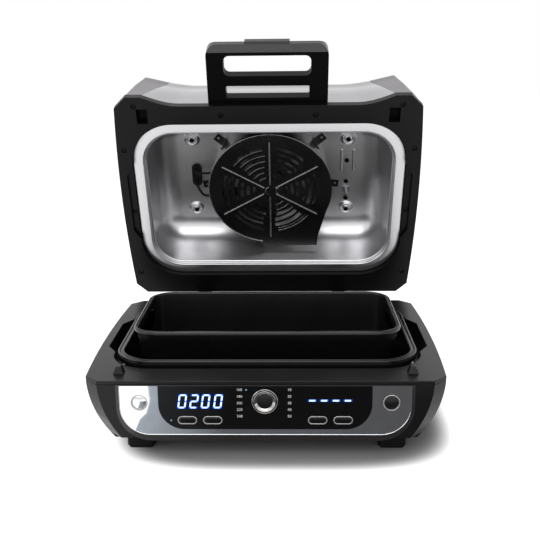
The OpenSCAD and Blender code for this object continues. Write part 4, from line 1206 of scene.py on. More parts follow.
@dataclass
class Patterns:
    """The Geometry Nodes trees of the cooker's repeats. A screw's sizes are shares of its own."""

    head_sides: int = 28
    skirt_h: float = 0.6
    crown_h: float = 0.5
    crown_lift: float = 0.3
    crown_r: float = 0.72
    cross_length: float = 1.2
    cross_width: float = 0.26
    cross_lift: float = 0.8
    rib_sides: int = 8
    spoke_sides: int = 12
    screws: Grower = field(init=False)
    bars: Grower = field(init=False)
    ribs: Grower = field(init=False)
    spokes: Grower = field(init=False)

    def __post_init__(self) -> None:
        """Builds the trees."""
        self.screws = self._screw_tree()
        self.bars = self._bar_tree()
        self.ribs = self._rib_tree()
        self.spokes = self._spoke_tree()

    def _screw_tree(self) -> Grower:
        """Builds a screw head with a cross recess on each point, facing down and turned at random.

        Returns:
            The tree.
        """
        tree = Grower("screw_heads", ("Radius", "Height", "Recess"), ("Seed",))
        radius, height, recess = tree.size("Radius"), tree.size("Height"), tree.size("Recess")
        skirt = tree.solid("Cylinder", {"Vertices": self.head_sides, "Radius": radius,
                                        "Depth": height * self.skirt_h})
        crown = tree.solid("Cone", {"Vertices": self.head_sides, "Radius Top": radius * self.crown_r,
                                    "Radius Bottom": radius, "Depth": height * self.crown_h})
        lifted = tree.moved(crown, Translation=tree.vector(Z=height * self.crown_lift))
        head = tree.node("GeometryNodeMeshBoolean", {"operation": "UNION"}, {"Mesh 2": [skirt, lifted]})
        slots = []
        for along, across in ("XY", "YX"):
            sides = {along: radius * self.cross_length, across: radius * self.cross_width, "Z": recess * 2.0}
            bar = tree.solid("Cube", {"Size": tree.vector(**sides)})
            slots.append(tree.moved(bar, Translation=tree.vector(Z=height * self.cross_lift)))
        cross = tree.node("GeometryNodeMeshBoolean", {"operation": "DIFFERENCE"},
                          {"Mesh 1": head, "Mesh 2": slots})
        turn = tree.node("FunctionNodeRandomValue", {"data_type": "FLOAT"},
                         {2: 0.0, 3: pi, "Seed": tree.size("Seed")}, 1)
        return tree.end(cross, Rotation=tree.vector(X=pi, Z=turn))

    @staticmethod
    def _bar_tree() -> Grower:
        """Builds a thin bar on each point.

        Returns:
            The tree.
        """
        tree = Grower("panel_bars", ("Length", "Width", "Depth"))
        size = tree.vector(X=tree.size("Length"), Y=tree.size("Depth"), Z=tree.size("Width"))
        return tree.end(tree.solid("Cube", {"Size": size}))

    @staticmethod
    def _rod(tree: Grower, sides: int) -> Signal:
        """Adds a rod along Z with the tree's Length and Width."""
        values = {"Vertices": sides, "Radius": tree.size("Width") * 0.5, "Depth": tree.size("Length")}
        return tree.solid("Cylinder", values)

    def _rib_tree(self) -> Grower:
        """Builds a ring of ribs about each point, with its axis along Z.

        Returns:
            The tree.
        """
        tree = Grower("rib_ring", ("Radius", "Length", "Width"), ("Count",))
        ring = tree.solid("Circle", {"Vertices": tree.size("Count"), "Radius": tree.size("Radius")})
        return tree.end(tree.spread(ring, self._rod(tree, self.rib_sides)))

    def _spoke_tree(self) -> Grower:
        """Builds round-topped spokes about each point, in the plane square to Z.

        Returns:
            The tree.
        """
        tree = Grower("spoke_ring", ("Inner", "Turn", "Step", "Length", "Width"), ("Count",))
        middle = tree.solid("Circle", {"Vertices": tree.size("Count"), "Radius": 0.0})
        reach = tree.vector(X=tree.size("Inner") + tree.size("Length") * 0.5)
        rod = self._rod(tree, self.spoke_sides)
        spoke = tree.moved(rod, Translation=reach, Rotation=(0.0, pi / 2, 0.0))
        turn = tree.node("GeometryNodeInputIndex") * tree.size("Step") + tree.size("Turn")
        return tree.end(tree.spread(middle, spoke, Rotation=tree.vector(Z=turn)))


@dataclass
class LidPlace:
    """Maps places in the closed lid, with heights above its lower face, to the open lid."""

    gap: float = 2.3 * MM
    matrix: Matrix = field(init=False)

    def __post_init__(self) -> None:
        """Works the map out from the hinge."""
        joint = next(j for j in frame["joints"] if j["name"] == "lid_hinge")
        pivot = Matrix.Translation(joint["pos_m"])
        swing = Matrix.Rotation(-radians(joint["range_deg"][0]), 4, Vector(joint["axis"]))
        lower_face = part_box("base_deck")[1].z + self.gap
        self.matrix = pivot @ swing @ pivot.inverted() @ Matrix.Translation((0, 0, lower_face))

    def open(self, made: Piece) -> Piece:
        """Moves a mesh from its closed place to the open lid.

        Args:
            made: The object with the mesh.

        Returns:
            The same object.
        """
        made.data.transform(self.matrix)
        made.data.update()
        return made

    def box(self, node: str) -> tuple[Vector, Vector]:
        """Measures a node in the closed lid.

        Args:
            node: The node.

        Returns:
            The lower and upper corner of its box.
        """
        back = self.matrix.inverted()
        points = [back @ v.co for v in frame["nodes"][node].data.vertices]
        return (Vector([min(p[i] for p in points) for i in range(3)]),
                Vector([max(p[i] for p in points) for i in range(3)]))


@dataclass
class Base:
    """Housing, deck, feet and what shows inside the well."""

    bench: Bench
    edge: float = 0.7 * MM
    small: tuple[Shell, ...] = (
        ("rubber_feet", Look.RUBBER, 0.8 * MM, 2), ("interlock_pegs", Look.CHARCOAL, 0.8 * MM, 3),
        ("hinge_brackets", Look.FRAME_BLACK, 0.8 * MM, 2), ("cord_gland", Look.RUBBER, 0.5 * MM, 2),
        ("hinge_pins", Look.ZINC, 0.4 * MM, 2))

    def build(self) -> None:
        """Builds the base."""
        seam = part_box("lower_housing")[1].z
        deck_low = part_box("base_deck")[0].z
        self.bench.shell("lower_housing", Look.CHARCOAL, self.edge, above=seam - self.edge)
        self.bench.shell("base_deck", Look.CHARCOAL, self.edge, above=deck_low)
        self.bench.shells(self.small)
        self.bench.keep(Look.WELL_STEEL, "heat_well")
        self.bench.keep(Look.ZINC, "bottom_plate", "bottom_screws")
        self.bench.keep(Look.ALLOY, "pot_supports", "pot_sensor")
        self.bench.keep(Look.SHEATH, "base_heater")
        self.bench.keep(Look.BOARD, "display_board", "power_board")


@dataclass
class Pots:
    """Pot and basket, skinned from profiles of insets from the rim and heights, in millimetres."""

    bench: Bench
    corner_steps: int = 14
    least_radius: float = 6 * MM
    pot_radius: float = 49 * MM
    pot_profile: Line = (
        (60, 48, 0), (10, 48, 14), (6.8, 98.5, 0.6), (1.6, 98.5, 0.5), (1.6, 95, 0.3), (0, 95, 0.4),
        (0, 104, 1.1), (2.9, 104, 0.6), (2.9, 103, 0.4), (5.4, 103, 0.4), (5.4, 104, 0.6),
        (8.4, 104, 1.2), (11.6, 49.6, 12.4), (60, 49.6, 0))
    basket_radius: float = 34 * MM
    basket_profile: Line = (
        (60, 60, 0), (8, 60, 14), (4, 124.4, 0.8), (0, 124.8, 1.2), (0, 130, 2.4), (5.8, 130, 2.2),
        (9.6, 61.6, 12.4), (60, 61.6, 0))
    hold_length: float = 116 * MM
    hold_height: float = 22 * MM
    hold_drop: float = 22 * MM
    hold_points: int = 40
    foot_radius: float = 9 * MM
    foot_top: float = 61 * MM
    foot_bend: float = 51.2 * MM
    foot_draft: float = 1.2 * MM
    foot_steps: int = 32
    foot_in: Pair = (50 * MM, 45 * MM)
    edge: float = 0.5 * MM

    def build(self) -> None:
        """Builds both pieces."""
        self._pot()
        self._basket()

    def _skinned(self, name: str, node: str, radius: float, corners: Sequence[Corner]) -> Piece:
        """Skins a vessel that fills the plan of a node's box.

        Args:
            name: Name of the piece.
            node: The node.
            radius: Corner radius at the rim.
            corners: The profile.

        Returns:
            The vessel.
        """
        profile = filleted(corners)
        made = basin(name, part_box(node), profile, radius, self.least_radius, self.corner_steps, True)
        return Bench.clean(made)

    def _pot(self) -> None:
        """Builds the pot with its grooved rim and turned-down lip."""
        pot = self._skinned("pot_pan", "outer_pot", self.pot_radius, self.pot_profile)
        self.bench.dress(Bench.smooth(pot, 40), Look.NONSTICK, "outer_pot")

    def _basket(self) -> None:
        """Builds the basket with its rolled rim, hand holds and pressed feet."""
        basket = self._skinned("basket_pan", "inner_basket", self.basket_radius, self.basket_profile)
        low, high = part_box("inner_basket")
        middle, hold_z = (high.y + low.y) / 2, high.z - self.hold_drop
        outline = pill_outline(self.hold_length, self.hold_height, self.hold_points)
        rings = [[(2 * s * high.x, middle + y, hold_z + z) for y, z in outline] for s in (-1, 1)]
        Bench.cut(basket, Bench.clean(lofted("hold_tool", rings, True)))
        foot = [(0.0, self.foot_top), (self.foot_radius, self.foot_top), (self.foot_radius, self.foot_bend),
                (self.foot_radius - self.foot_draft, low.z), (0.0, low.z)]
        x, y = high.x - self.foot_in[0], (high.y - low.y) / 2 - self.foot_in[1]
        places = [Matrix.Translation((sx * x, middle + sy * y, 0)) for sx in (-1, 1) for sy in (-1, 1)]
        feet = [turned("foot", foot, place, self.foot_steps) for place in places]
        basket = Bench.joined("basket_pan", [basket, *feet])
        Bench.soften(Bench.smooth(basket, 40), self.edge, angle=50)
        self.bench.dress(basket, Look.NONSTICK, "inner_basket")


class Segment(Enum):
    """Bars of a seven-segment digit: start and end as shares of its width and height."""

    TOP = ((0, 1), (1, 1))
    UPPER_RIGHT = ((1, 1), (1, 0.5))
    LOWER_RIGHT = ((1, 0.5), (1, 0))
    BOTTOM = ((0, 0), (1, 0))
    LOWER_LEFT = ((0, 0.5), (0, 0))
    UPPER_LEFT = ((0, 1), (0, 0.5))
    MIDDLE = ((0, 0.5), (1, 0.5))


ZERO = [s for s in Segment if s is not Segment.MIDDLE]
TWO = [Segment.TOP, Segment.UPPER_RIGHT, Segment.MIDDLE, Segment.LOWER_LEFT, Segment.BOTTOM]


@dataclass
class ControlPanel:
    """Bezel, mirror fascia, gloss panel, displays, buttons and knob.

    The knob's profiles hold radii and heights from its front, and knob_skirt insets from its side and its
    front, in millimetres. The steps of pill_cap are insets and depths behind the cap's front.
    """

    bench: Bench
    patterns: Patterns
    bezel_edge: float = 0.7 * MM
    panel_edge: float = 0.3 * MM
    digit_middles: Lengths = (-95.4 * MM, -81.7 * MM, -68.4 * MM, -54.0 * MM)
    digit_low: float = 64.6 * MM
    digit_height: float = 15.3 * MM
    digit_width: float = 7.6 * MM
    bar: float = 1.8 * MM
    bar_gap: float = 0.35 * MM
    slant: float = tan(radians(8.6))
    dash_middles: Lengths = (54.3 * MM, 67.9 * MM, 81.5 * MM, 95.2 * MM)
    dash_z: float = 73.2 * MM
    dash_length: float = 6.9 * MM
    dash_width: float = 1.9 * MM
    pilots: Pairs = ((-109 * MM, 48.6 * MM), (-21.5 * MM, 86.5 * MM))
    pilot_size: float = 2.0 * MM
    pilot_points: int = 20
    halo: float = 2.9 * MM
    halo_fades: Pairs = ((0.0, 1.0), (0.45, 0.5), (1.0, 0.0))
    halo_lift: float = 0.03 * MM
    halo_step: float = 0.001 * MM
    proud: float = 0.12 * MM
    mark_rows: Lengths = (86.5 * MM, 78.3 * MM, 70.1 * MM, 62.0 * MM, 53.8 * MM)
    mark_x: float = 26.0 * MM
    mark_columns: tuple[tuple[int, int, int, str], ...] = ((160, 20, -1, "RIGHT"), (10, 10, 1, "LEFT"))
    figure_size: float = 4.5 * MM
    fascia_r: float = 34.5 * MM
    edge_r: float = 0.55 * MM
    edge_steps: int = 14
    ring_w: float = 1.2 * MM
    slide_gap: float = 0.3 * MM
    pill_points: int = 48
    pill_cap: Pairs = ((0.0, 0.5 * MM), (0.15 * MM, 0.15 * MM), (0.5 * MM, 0.0))
    ridge_rows: Lengths = tuple(k * 1.1 * MM for k in (-2, -1, 0, 1, 2))
    ridge_lift: float = 0.05 * MM
    ridge_end: float = 4.0 * MM
    ridge_width: float = 0.45 * MM
    ridge_depth: float = 0.1 * MM
    dome_turns: Lengths = tuple(radians(3 * k) for k in range(8, -1, -1))
    dome_rise: float = 2.2
    knob_z: float = 74.0 * MM
    knob_gap: float = 0.5 * MM
    knob_skirt: Pairs = ((0.7, 1.6), (1.2, 1.6), (1.2, 2.0))
    knob_cap: Line = ((0, -3.0, 0), (8.8, -3.0, 0), (8.8, -1.3, 0.5), (0, -1.0, 0))
    knob_bevel: Line = (
        (8.9, -2.4, 0), (8.9, -1.9, 0.2), (12.3, -0.1, 0.6), (12.9, -0.3, 0.3), (12.9, -2.4, 0))
    knob_edge: Line = (
        (14.0, -2.4, 0), (14.0, -1.0, 0.3), (14.5, -0.8, 0.3), (15.0, -1.3, 0.3), (15.0, -2.4, 0))
    rib_count: int = 60
    rib_width: float = 0.8 * MM
    rib_short: float = 1.8 * MM
    rib_shift: float = 0.7 * MM
    digits: tuple[list[Segment], ...] = (ZERO, TWO, ZERO, ZERO)
    face: float = field(init=False)

    def __post_init__(self) -> None:
        """Finds the front of the gloss panel."""
        self.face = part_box("display_panel")[0].y

    def build(self) -> None:
        """Builds the control panel."""
        self.bench.shell("panel_bezel", Look.GUNMETAL, self.bezel_edge, steps=3)
        self._fascia()
        self.bench.shell("display_panel", Look.PANEL, self.panel_edge)
        self._pills()
        self._round_buttons()
        self._knob()
        self._displays()
        self._marks()

    def _fascia(self) -> None:
        """Builds the mirror plate and the bright edge that runs down its sides and along its foot."""
        plate = self.bench.copied("chrome_fascia", "fascia_plate")
        self.bench.dress(Bench.smooth(plate), Look.CHROME, "chrome_fascia")
        low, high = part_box("chrome_fascia")
        x, y, z, r = high.x - self.edge_r, low.y, low.z + self.edge_r, self.fascia_r
        angles = [pi / 2 * i / self.edge_steps for i in range(self.edge_steps + 1)]
        half = [(x, y, high.z), (x, y, (high.z + z + r) / 2)]
        half += [(x - r + r * cos(a), y, z + r - r * sin(a)) for a in angles]
        half += [((x - r) * k / 4, y, z) for k in (3, 2, 1)]
        route = half + [(0.0, y, z)] + [(-px, py, pz) for px, py, pz in reversed(half)]
        edge = piped("fascia_bright_edge", route, self.edge_r, sides=10, steps=2)
        self.bench.attach(Bench.smooth(edge, 60), Look.CHROME, "chrome_fascia")

    def _pill_rings(self, box: tuple[Vector, Vector], section: Sequence[Pair]) -> list[list[Point]]:
        """Lays rings with round ends about the axis of a small button.

        Args:
            box: Corners of the button's box.
            section: The inset and the place along Y of each ring.

        Returns:
            The rings.
        """
        size, middle = box[1] - box[0], (box[0] + box[1]) / 2
        rings = []
        for inset, y in section:
            outline = pill_outline(size.x - 2 * inset, size.z - 2 * inset, self.pill_points)
            rings.append([(middle.x + u, y, middle.z + v) for u, v in outline])
        return rings

    def _pills(self) -> None:
        """Builds the four small buttons, each a ridged cap in a thin rounded ring."""
        front, back = (corner.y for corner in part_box("pill_button_rings"))
        wall, bevel, shy = self.ring_w, self.ring_w / 4, self.ring_w + self.slide_gap
        section = filleted([(wall, back, 0), (wall, front, bevel), (0, front, bevel), (0, back, 0)], 5)
        rims = []
        for i in range(1, 5):
            node = f"pill_button_{i}"
            low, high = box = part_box(node)
            middle = (low + high) / 2
            cap = [(shy, high.y), *[(shy + inset, low.y + depth) for inset, depth in self.pill_cap]]
            face = Bench.clean(lofted(node + "_cap", self._pill_rings(box, cap), True))
            rows = [(middle.x, low.y + self.ridge_lift, middle.z + row) for row in self.ridge_rows]
            sizes = {"Length": high.x - low.x - 2 * shy - self.ridge_end, "Width": self.ridge_width,
                     "Depth": self.ridge_depth}
            ridges = self.patterns.bars.grow("ridges", rows, Look.BUTTON, sizes)
            made = Bench.joined(node + "_cap", [face, ridges])
            self.bench.dress(Bench.smooth(made, 40), Look.BUTTON, node)
            loops = self._pill_rings(box, section)
            rims.append(Bench.clean(lofted("pill_rim", [*loops, loops[0]])))
        self.bench.dress(Bench.smooth(Bench.joined("pill_rims", rims), 50), Look.TRIM, "pill_button_rings")

    def _round_buttons(self) -> None:
        """Builds the two round buttons, each a slightly domed cap in a rounded ring."""
        low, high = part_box("round_button_rings")
        front, back, outer = -low.y, -high.y, (high.z - low.z) / 2
        inner, bevel = outer - self.ring_w, self.ring_w / 4
        section = filleted([(inner, back, 0), (inner, front, bevel), (outer, front, bevel), (outer, back, 0)])
        radius = inner - self.slide_gap
        sphere = radius / sin(self.dome_turns[0])
        rims = []
        for node, look in (("power_button", Look.CHROME), ("start_button", Look.BUTTON)):
            low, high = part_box(node)
            place = facing((low.x + high.x) / 2, 0, (low.z + high.z) / 2)
            dome = [(sphere * sin(a), -low.y - self.dome_rise * radius * (1 - cos(a)))
                    for a in self.dome_turns]
            cap = turned(node + "_cap", [(0.0, -high.y), (radius, -high.y), *dome], place, 72)
            self.bench.dress(Bench.smooth(cap, 40), look, node)
            rims.append(turned("round_rim", section, place, 96, hollow=True))
        self.bench.dress(Bench.smooth(Bench.joined("round_rims", rims), 50), Look.TRIM, "round_button_rings")

    def _knob(self) -> None:
        """Builds the knob: a ribbed skirt, a bright outer edge, a bright bevel and a dark cap."""
        low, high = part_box("control_knob")
        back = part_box("chrome_fascia")[0].y - self.knob_gap
        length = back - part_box("knob_ring")[0].y
        radius = (high.x - low.x) / 2
        place = facing(0, back, self.knob_z)

        def rounded(corners: Sequence[Corner], steps: int) -> list[Pair]:
            """Rounds a profile and sets it on the knob's front."""
            return [(r * MM, length + z * MM) for r, z in filleted(corners, steps)]

        steps = [(radius - inset * MM, length - depth * MM) for inset, depth in self.knob_skirt]
        core = steps[0][0]
        body = turned("knob_body", [(0, 0), (core, 0), *steps, (0, steps[-1][1])], place, 72)
        sizes = {"Count": self.rib_count, "Radius": core, "Length": length - self.rib_short,
                 "Width": self.rib_width}
        ribs = self.patterns.ribs.grow("knob_ribs", [(0, 0, length / 2 - self.rib_shift)], Look.BUTTON, sizes)
        ribs.data.transform(place)
        face = turned("knob_cap", rounded(self.knob_cap, 5), place, 72)
        knob = Bench.joined("knob_grip", [body, ribs, face])
        self.bench.dress(Bench.smooth(knob), Look.BUTTON, "control_knob")
        rings = [turned("knob_bright", rounded(line, 4), place, 96, hollow=True)
                 for line in (self.knob_bevel, self.knob_edge)]
        self.bench.dress(Bench.smooth(Bench.joined("knob_bright_ring", rings)), Look.SMOKED, "knob_ring")

    def _bars(self) -> list[list[Pair]]:
        """Draws the lit bars of the digits and the dashes.

        Returns:
            The outline of each bar, in X and Z.
        """
        outlines = []
        half = self.bar / 2
        for middle, lit in zip(self.digit_middles, self.digits):
            for segment in lit:
                a, b = (Vector(((x - 0.5) * self.digit_width, z * self.digit_height))
                        for x, z in segment.value)
                along = (b - a).normalized()
                a, b = a + along * self.bar_gap, b - along * self.bar_gap
                side = Vector((-along.y, along.x)) * half
                along = along * half
                ring = [a, a + along + side, b - along + side, b, b - along - side, a + along - side]
                outlines.append([self._slanted(middle, p) for p in ring])
        x, z, rise = self.dash_length / 2, self.dash_width / 2, self.dash_z - self.digit_low
        ring = [Vector((sx * x, rise + sz * z)) for sx, sz in ((-1, -1), (1, -1), (1, 1), (-1, 1))]
        outlines += [[self._slanted(middle, p) for p in ring] for middle in self.dash_middles]
        return outlines

    def _slanted(self, middle: float, point: Vector) -> Pair:
        """Leans a digit's point and puts it on the panel."""
        lean = (point.y - self.digit_height / 2) * self.slant
        return middle + point.x + lean, self.digit_low + point.y

    def _displays(self) -> None:
        """Builds the lit bars with the glow round them, and the two pilot lamps."""
        bars = self._bars()
        dot = pill_outline(self.pilot_size, self.pilot_size, self.pilot_points)
        lamps = [[(x + u, z + v) for u, v in dot] for x, z in self.pilots]
        for name, look, outlines in (("display_digits", Look.LED, bars), ("pilot_lamps", Look.PILOT, lamps)):
            plates = []
            for ring in outlines:
                rings = [[(x, y, z) for x, z in ring] for y in (self.face, self.face - self.proud)]
                plates.append(Bench.clean(lofted("plate", rings, True)))
            self.bench.attach(Bench.joined(name, plates), look, "display_panel")
        self._glow(bars)

    def _glow(self, outlines: Sequence[Sequence[Pair]]) -> None:
        """Builds a skirt of light round each bar, bright at the bar and dark at its edge.

        Args:
            outlines: Outlines of the lit bars.
        """
        skirts, fades = [], []
        for k, ring in enumerate(outlines):
            centre = sum((Vector(p) for p in ring), Vector((0, 0))) / len(ring)
            away = [(Vector(p) - centre).normalized() * self.halo for p in ring]
            y = self.face - self.halo_lift - self.halo_step * k
            loops = []
            for grown, fade in self.halo_fades:
                loops.append([(p[0] + a.x * grown, y, p[1] + a.y * grown) for p, a in zip(ring, away)])
                fades += [fade] * len(ring)
            skirts.append(lofted("halo", loops))
        glow = Bench.joined("display_halo", skirts)
        layer = glow.data.attributes.new(Look.HALO.value.attribute, "FLOAT", "POINT")
        layer.data.foreach_set("value", fades)
        self.bench.attach(glow, Look.HALO, "display_panel")

    def _marks(self) -> None:
        """Sets plain numerals beside the knob."""
        numerals = []
        for first, step, side, end in self.mark_columns:
            for i, z in enumerate(self.mark_rows):
                numerals.append(self._numeral(str(first + step * i), side * self.mark_x, z, end))
        self.bench.attach(Bench.joined("program_numerals", numerals), Look.MARK, "display_panel")

    def _numeral(self, figures: str, x: float, z: float, end: str) -> Piece:
        """Sets a number on the panel.

        Args:
            figures: The figures.
            x: Place of the end that it is aligned to.
            z: Height of its middle.
            end: Which end that is.

        Returns:
            The figures as a thin mesh.
        """
        curve = bpy.data.curves.new("figures", "FONT")
        curve.body = figures
        curve.size = self.figure_size
        curve.align_x = end
        curve.align_y = "CENTER"
        curve.extrude = self.proud / 2
        made = Bench.link("figures", curve)
        mesh = Bench.evaluated(made)
        bpy.data.objects.remove(made)
        mesh.transform(facing(x, self.face - self.proud / 2, z))
        return Bench.clean(Bench.link("figures", mesh), False)


@dataclass
class Dome:
    """Rule of the lid's cover: bowed sides, cut corners, a scooped front and a rounded shoulder."""

    bow: float = 5 * MM
    corner: float = 16 * MM
    foot: float = 10 * MM
    crease_h: float = 60 * MM
    shoulder: float = 100 * MM
    top: float = 150 * MM
    lap: float = 0.6 * MM
    draft: Point = (12 * MM, 14.5 * MM, 9 * MM)
    run: Point = (98 * MM, 115 * MM, 65 * MM)
    scoop: float = 13.5 * MM
    crease: float = 1.2 * MM
    crown_scoop: float = 4 * MM
    fall: float = 9.5 * MM
    fade: float = 20 * MM
    seam: float = 173 * MM
    slope: float = 0.26
    flat: float = 0.7
    ear_gap: float = 2 * MM
    sliver: float = 1 * MM
    scoop_steps: int = 20
    bow_steps: int = 14
    foot_steps: int = 3
    side_steps: int = 2
    shoulder_steps: int = 18
    half: Pair = field(init=False)

    def __post_init__(self) -> None:
        """Takes the plan's half sizes from the deck."""
        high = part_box("base_deck")[1]
        self.half = (high.x, high.y)

    @staticmethod
    def _between(first: Sequence[float], last: Sequence[float], steps: int) -> list[tuple[float, ...]]:
        """Returns the levels that lead from one level, left out, to another in even steps."""
        return [tuple(a + (b - a) * k / steps for a, b in zip(first, last)) for k in range(1, steps + 1)]

    def levels(self) -> list[tuple[float, ...]]:
        """Lists the levels of the cover, from its foot to its crown.

        Returns:
            For each level its height, the draws of the sides, front and rear, the scoop and the fall to the
            seams.
        """
        side, front, rear = self.draft
        bend = self.fall * (self.crease_h - self.foot) / (self.shoulder - self.foot)
        full = self.scoop + self.crease
        foot = (self.foot, self.lap, self.lap, self.lap, self.scoop, 0.0)
        crease = (self.crease_h, side / 2, front / 2, rear / 2, self.scoop - self.crease, bend)
        shoulder = (self.shoulder, side, front, rear, full, self.fall)
        made = [foot, *self._between(foot, crease, self.foot_steps),
                *self._between(crease, shoulder, self.side_steps)]
        for i in range(1, self.shoulder_steps + 1):
            t = i / self.shoulder_steps
            k = 1 - cos(pi / 2 * t)
            made.append((self.shoulder + (self.top - self.shoulder) * sin(pi / 2 * t),
                         side + self.run[0] * k, front + self.run[1] * k, rear + self.run[2] * k,
                         full - (full - self.crown_scoop) * t, self.fall * (1 - t)))
        return made

    def ring(self, level: tuple[float, ...]) -> list[Point]:
        """Draws the outline of the cover at one level.

        Args:
            level: The level.

        Returns:
            The outline, anticlockwise from the rear left corner.
        """
        h, side, front, rear, scoop, fall = level
        half_w, half_d = self.half
        ear = half_w - self.bow - self.corner - side
        y0, y1 = front - half_d, half_d - rear
        s1 = min(self.seam - self.slope * (h - self.foot), ear - self.ear_gap)
        s0 = self.flat * s1
        fall *= min(1.0, (ear - s1) / self.fade)
        length = y1 - y0 - 2 * self.corner
        ys = [y0 + self.corner + length * i / self.bow_steps for i in range(self.bow_steps + 1)]
        out = half_d - self.corner
        flank = [(half_w - self.bow * (y / out) ** 2 - side, y) for y in ys]
        xs = [s1 - (s1 - s0) * i / self.scoop_steps for i in range(self.scoop_steps + 1)]
        dip = [(x, y0 + fall + (scoop - fall) * sin(pi / 2 * (s1 - x) / (s1 - s0))) for x in xs]
        right = [*reversed(dip), (ear, y0), *flank, (ear, y1)]
        left = [(-x, y) for x, y in reversed(right)]
        return [(x, y, h) for x, y in left + right]

    def skin(self, name: str) -> Piece:
        """Skins the whole cover, open at its foot."""
        rings = [self.ring(level) for level in self.levels()]
        return Bench.clean(Bench.cap(lofted(name, rings), len(rings[0])))

    def panel(self, name: str, sides: Iterable[tuple[int, bool]]) -> Piece:
        """Cuts a panel out of the skin along the seams.

        Args:
            name: Name of the panel.
            sides: For each seam, which one it is and whether what lies outside it is kept.

        Returns:
            The panel, as a sheet.
        """
        made = self.skin(name)
        for side, outside in sides:
            point = Vector((side * self.seam, 0, self.foot))
            normal = Vector((side, 0, self.slope)).normalized()

            def change(work: bmesh.types.BMesh) -> None:
                """Cuts along one seam plane and folds the slivers beside it into it.

                Args:
                    work: The panel's mesh.
                """
                cut = bmesh.ops.bisect_plane(work, geom=[*work.verts, *work.edges, *work.faces], dist=MERGE,
                                             plane_co=point, plane_no=normal, clear_outer=not outside,
                                             clear_inner=outside)["geom_cut"]
                rim = [v for v in cut if isinstance(v, bmesh.types.BMVert)]
                near = {edge.other_vert(v): v for v in rim for edge in v.link_edges
                        if edge.other_vert(v) not in rim and edge.calc_length() < self.sliver}
                bmesh.ops.weld_verts(work, targetmap=near)

            Bench.edit(made, change)
        return made


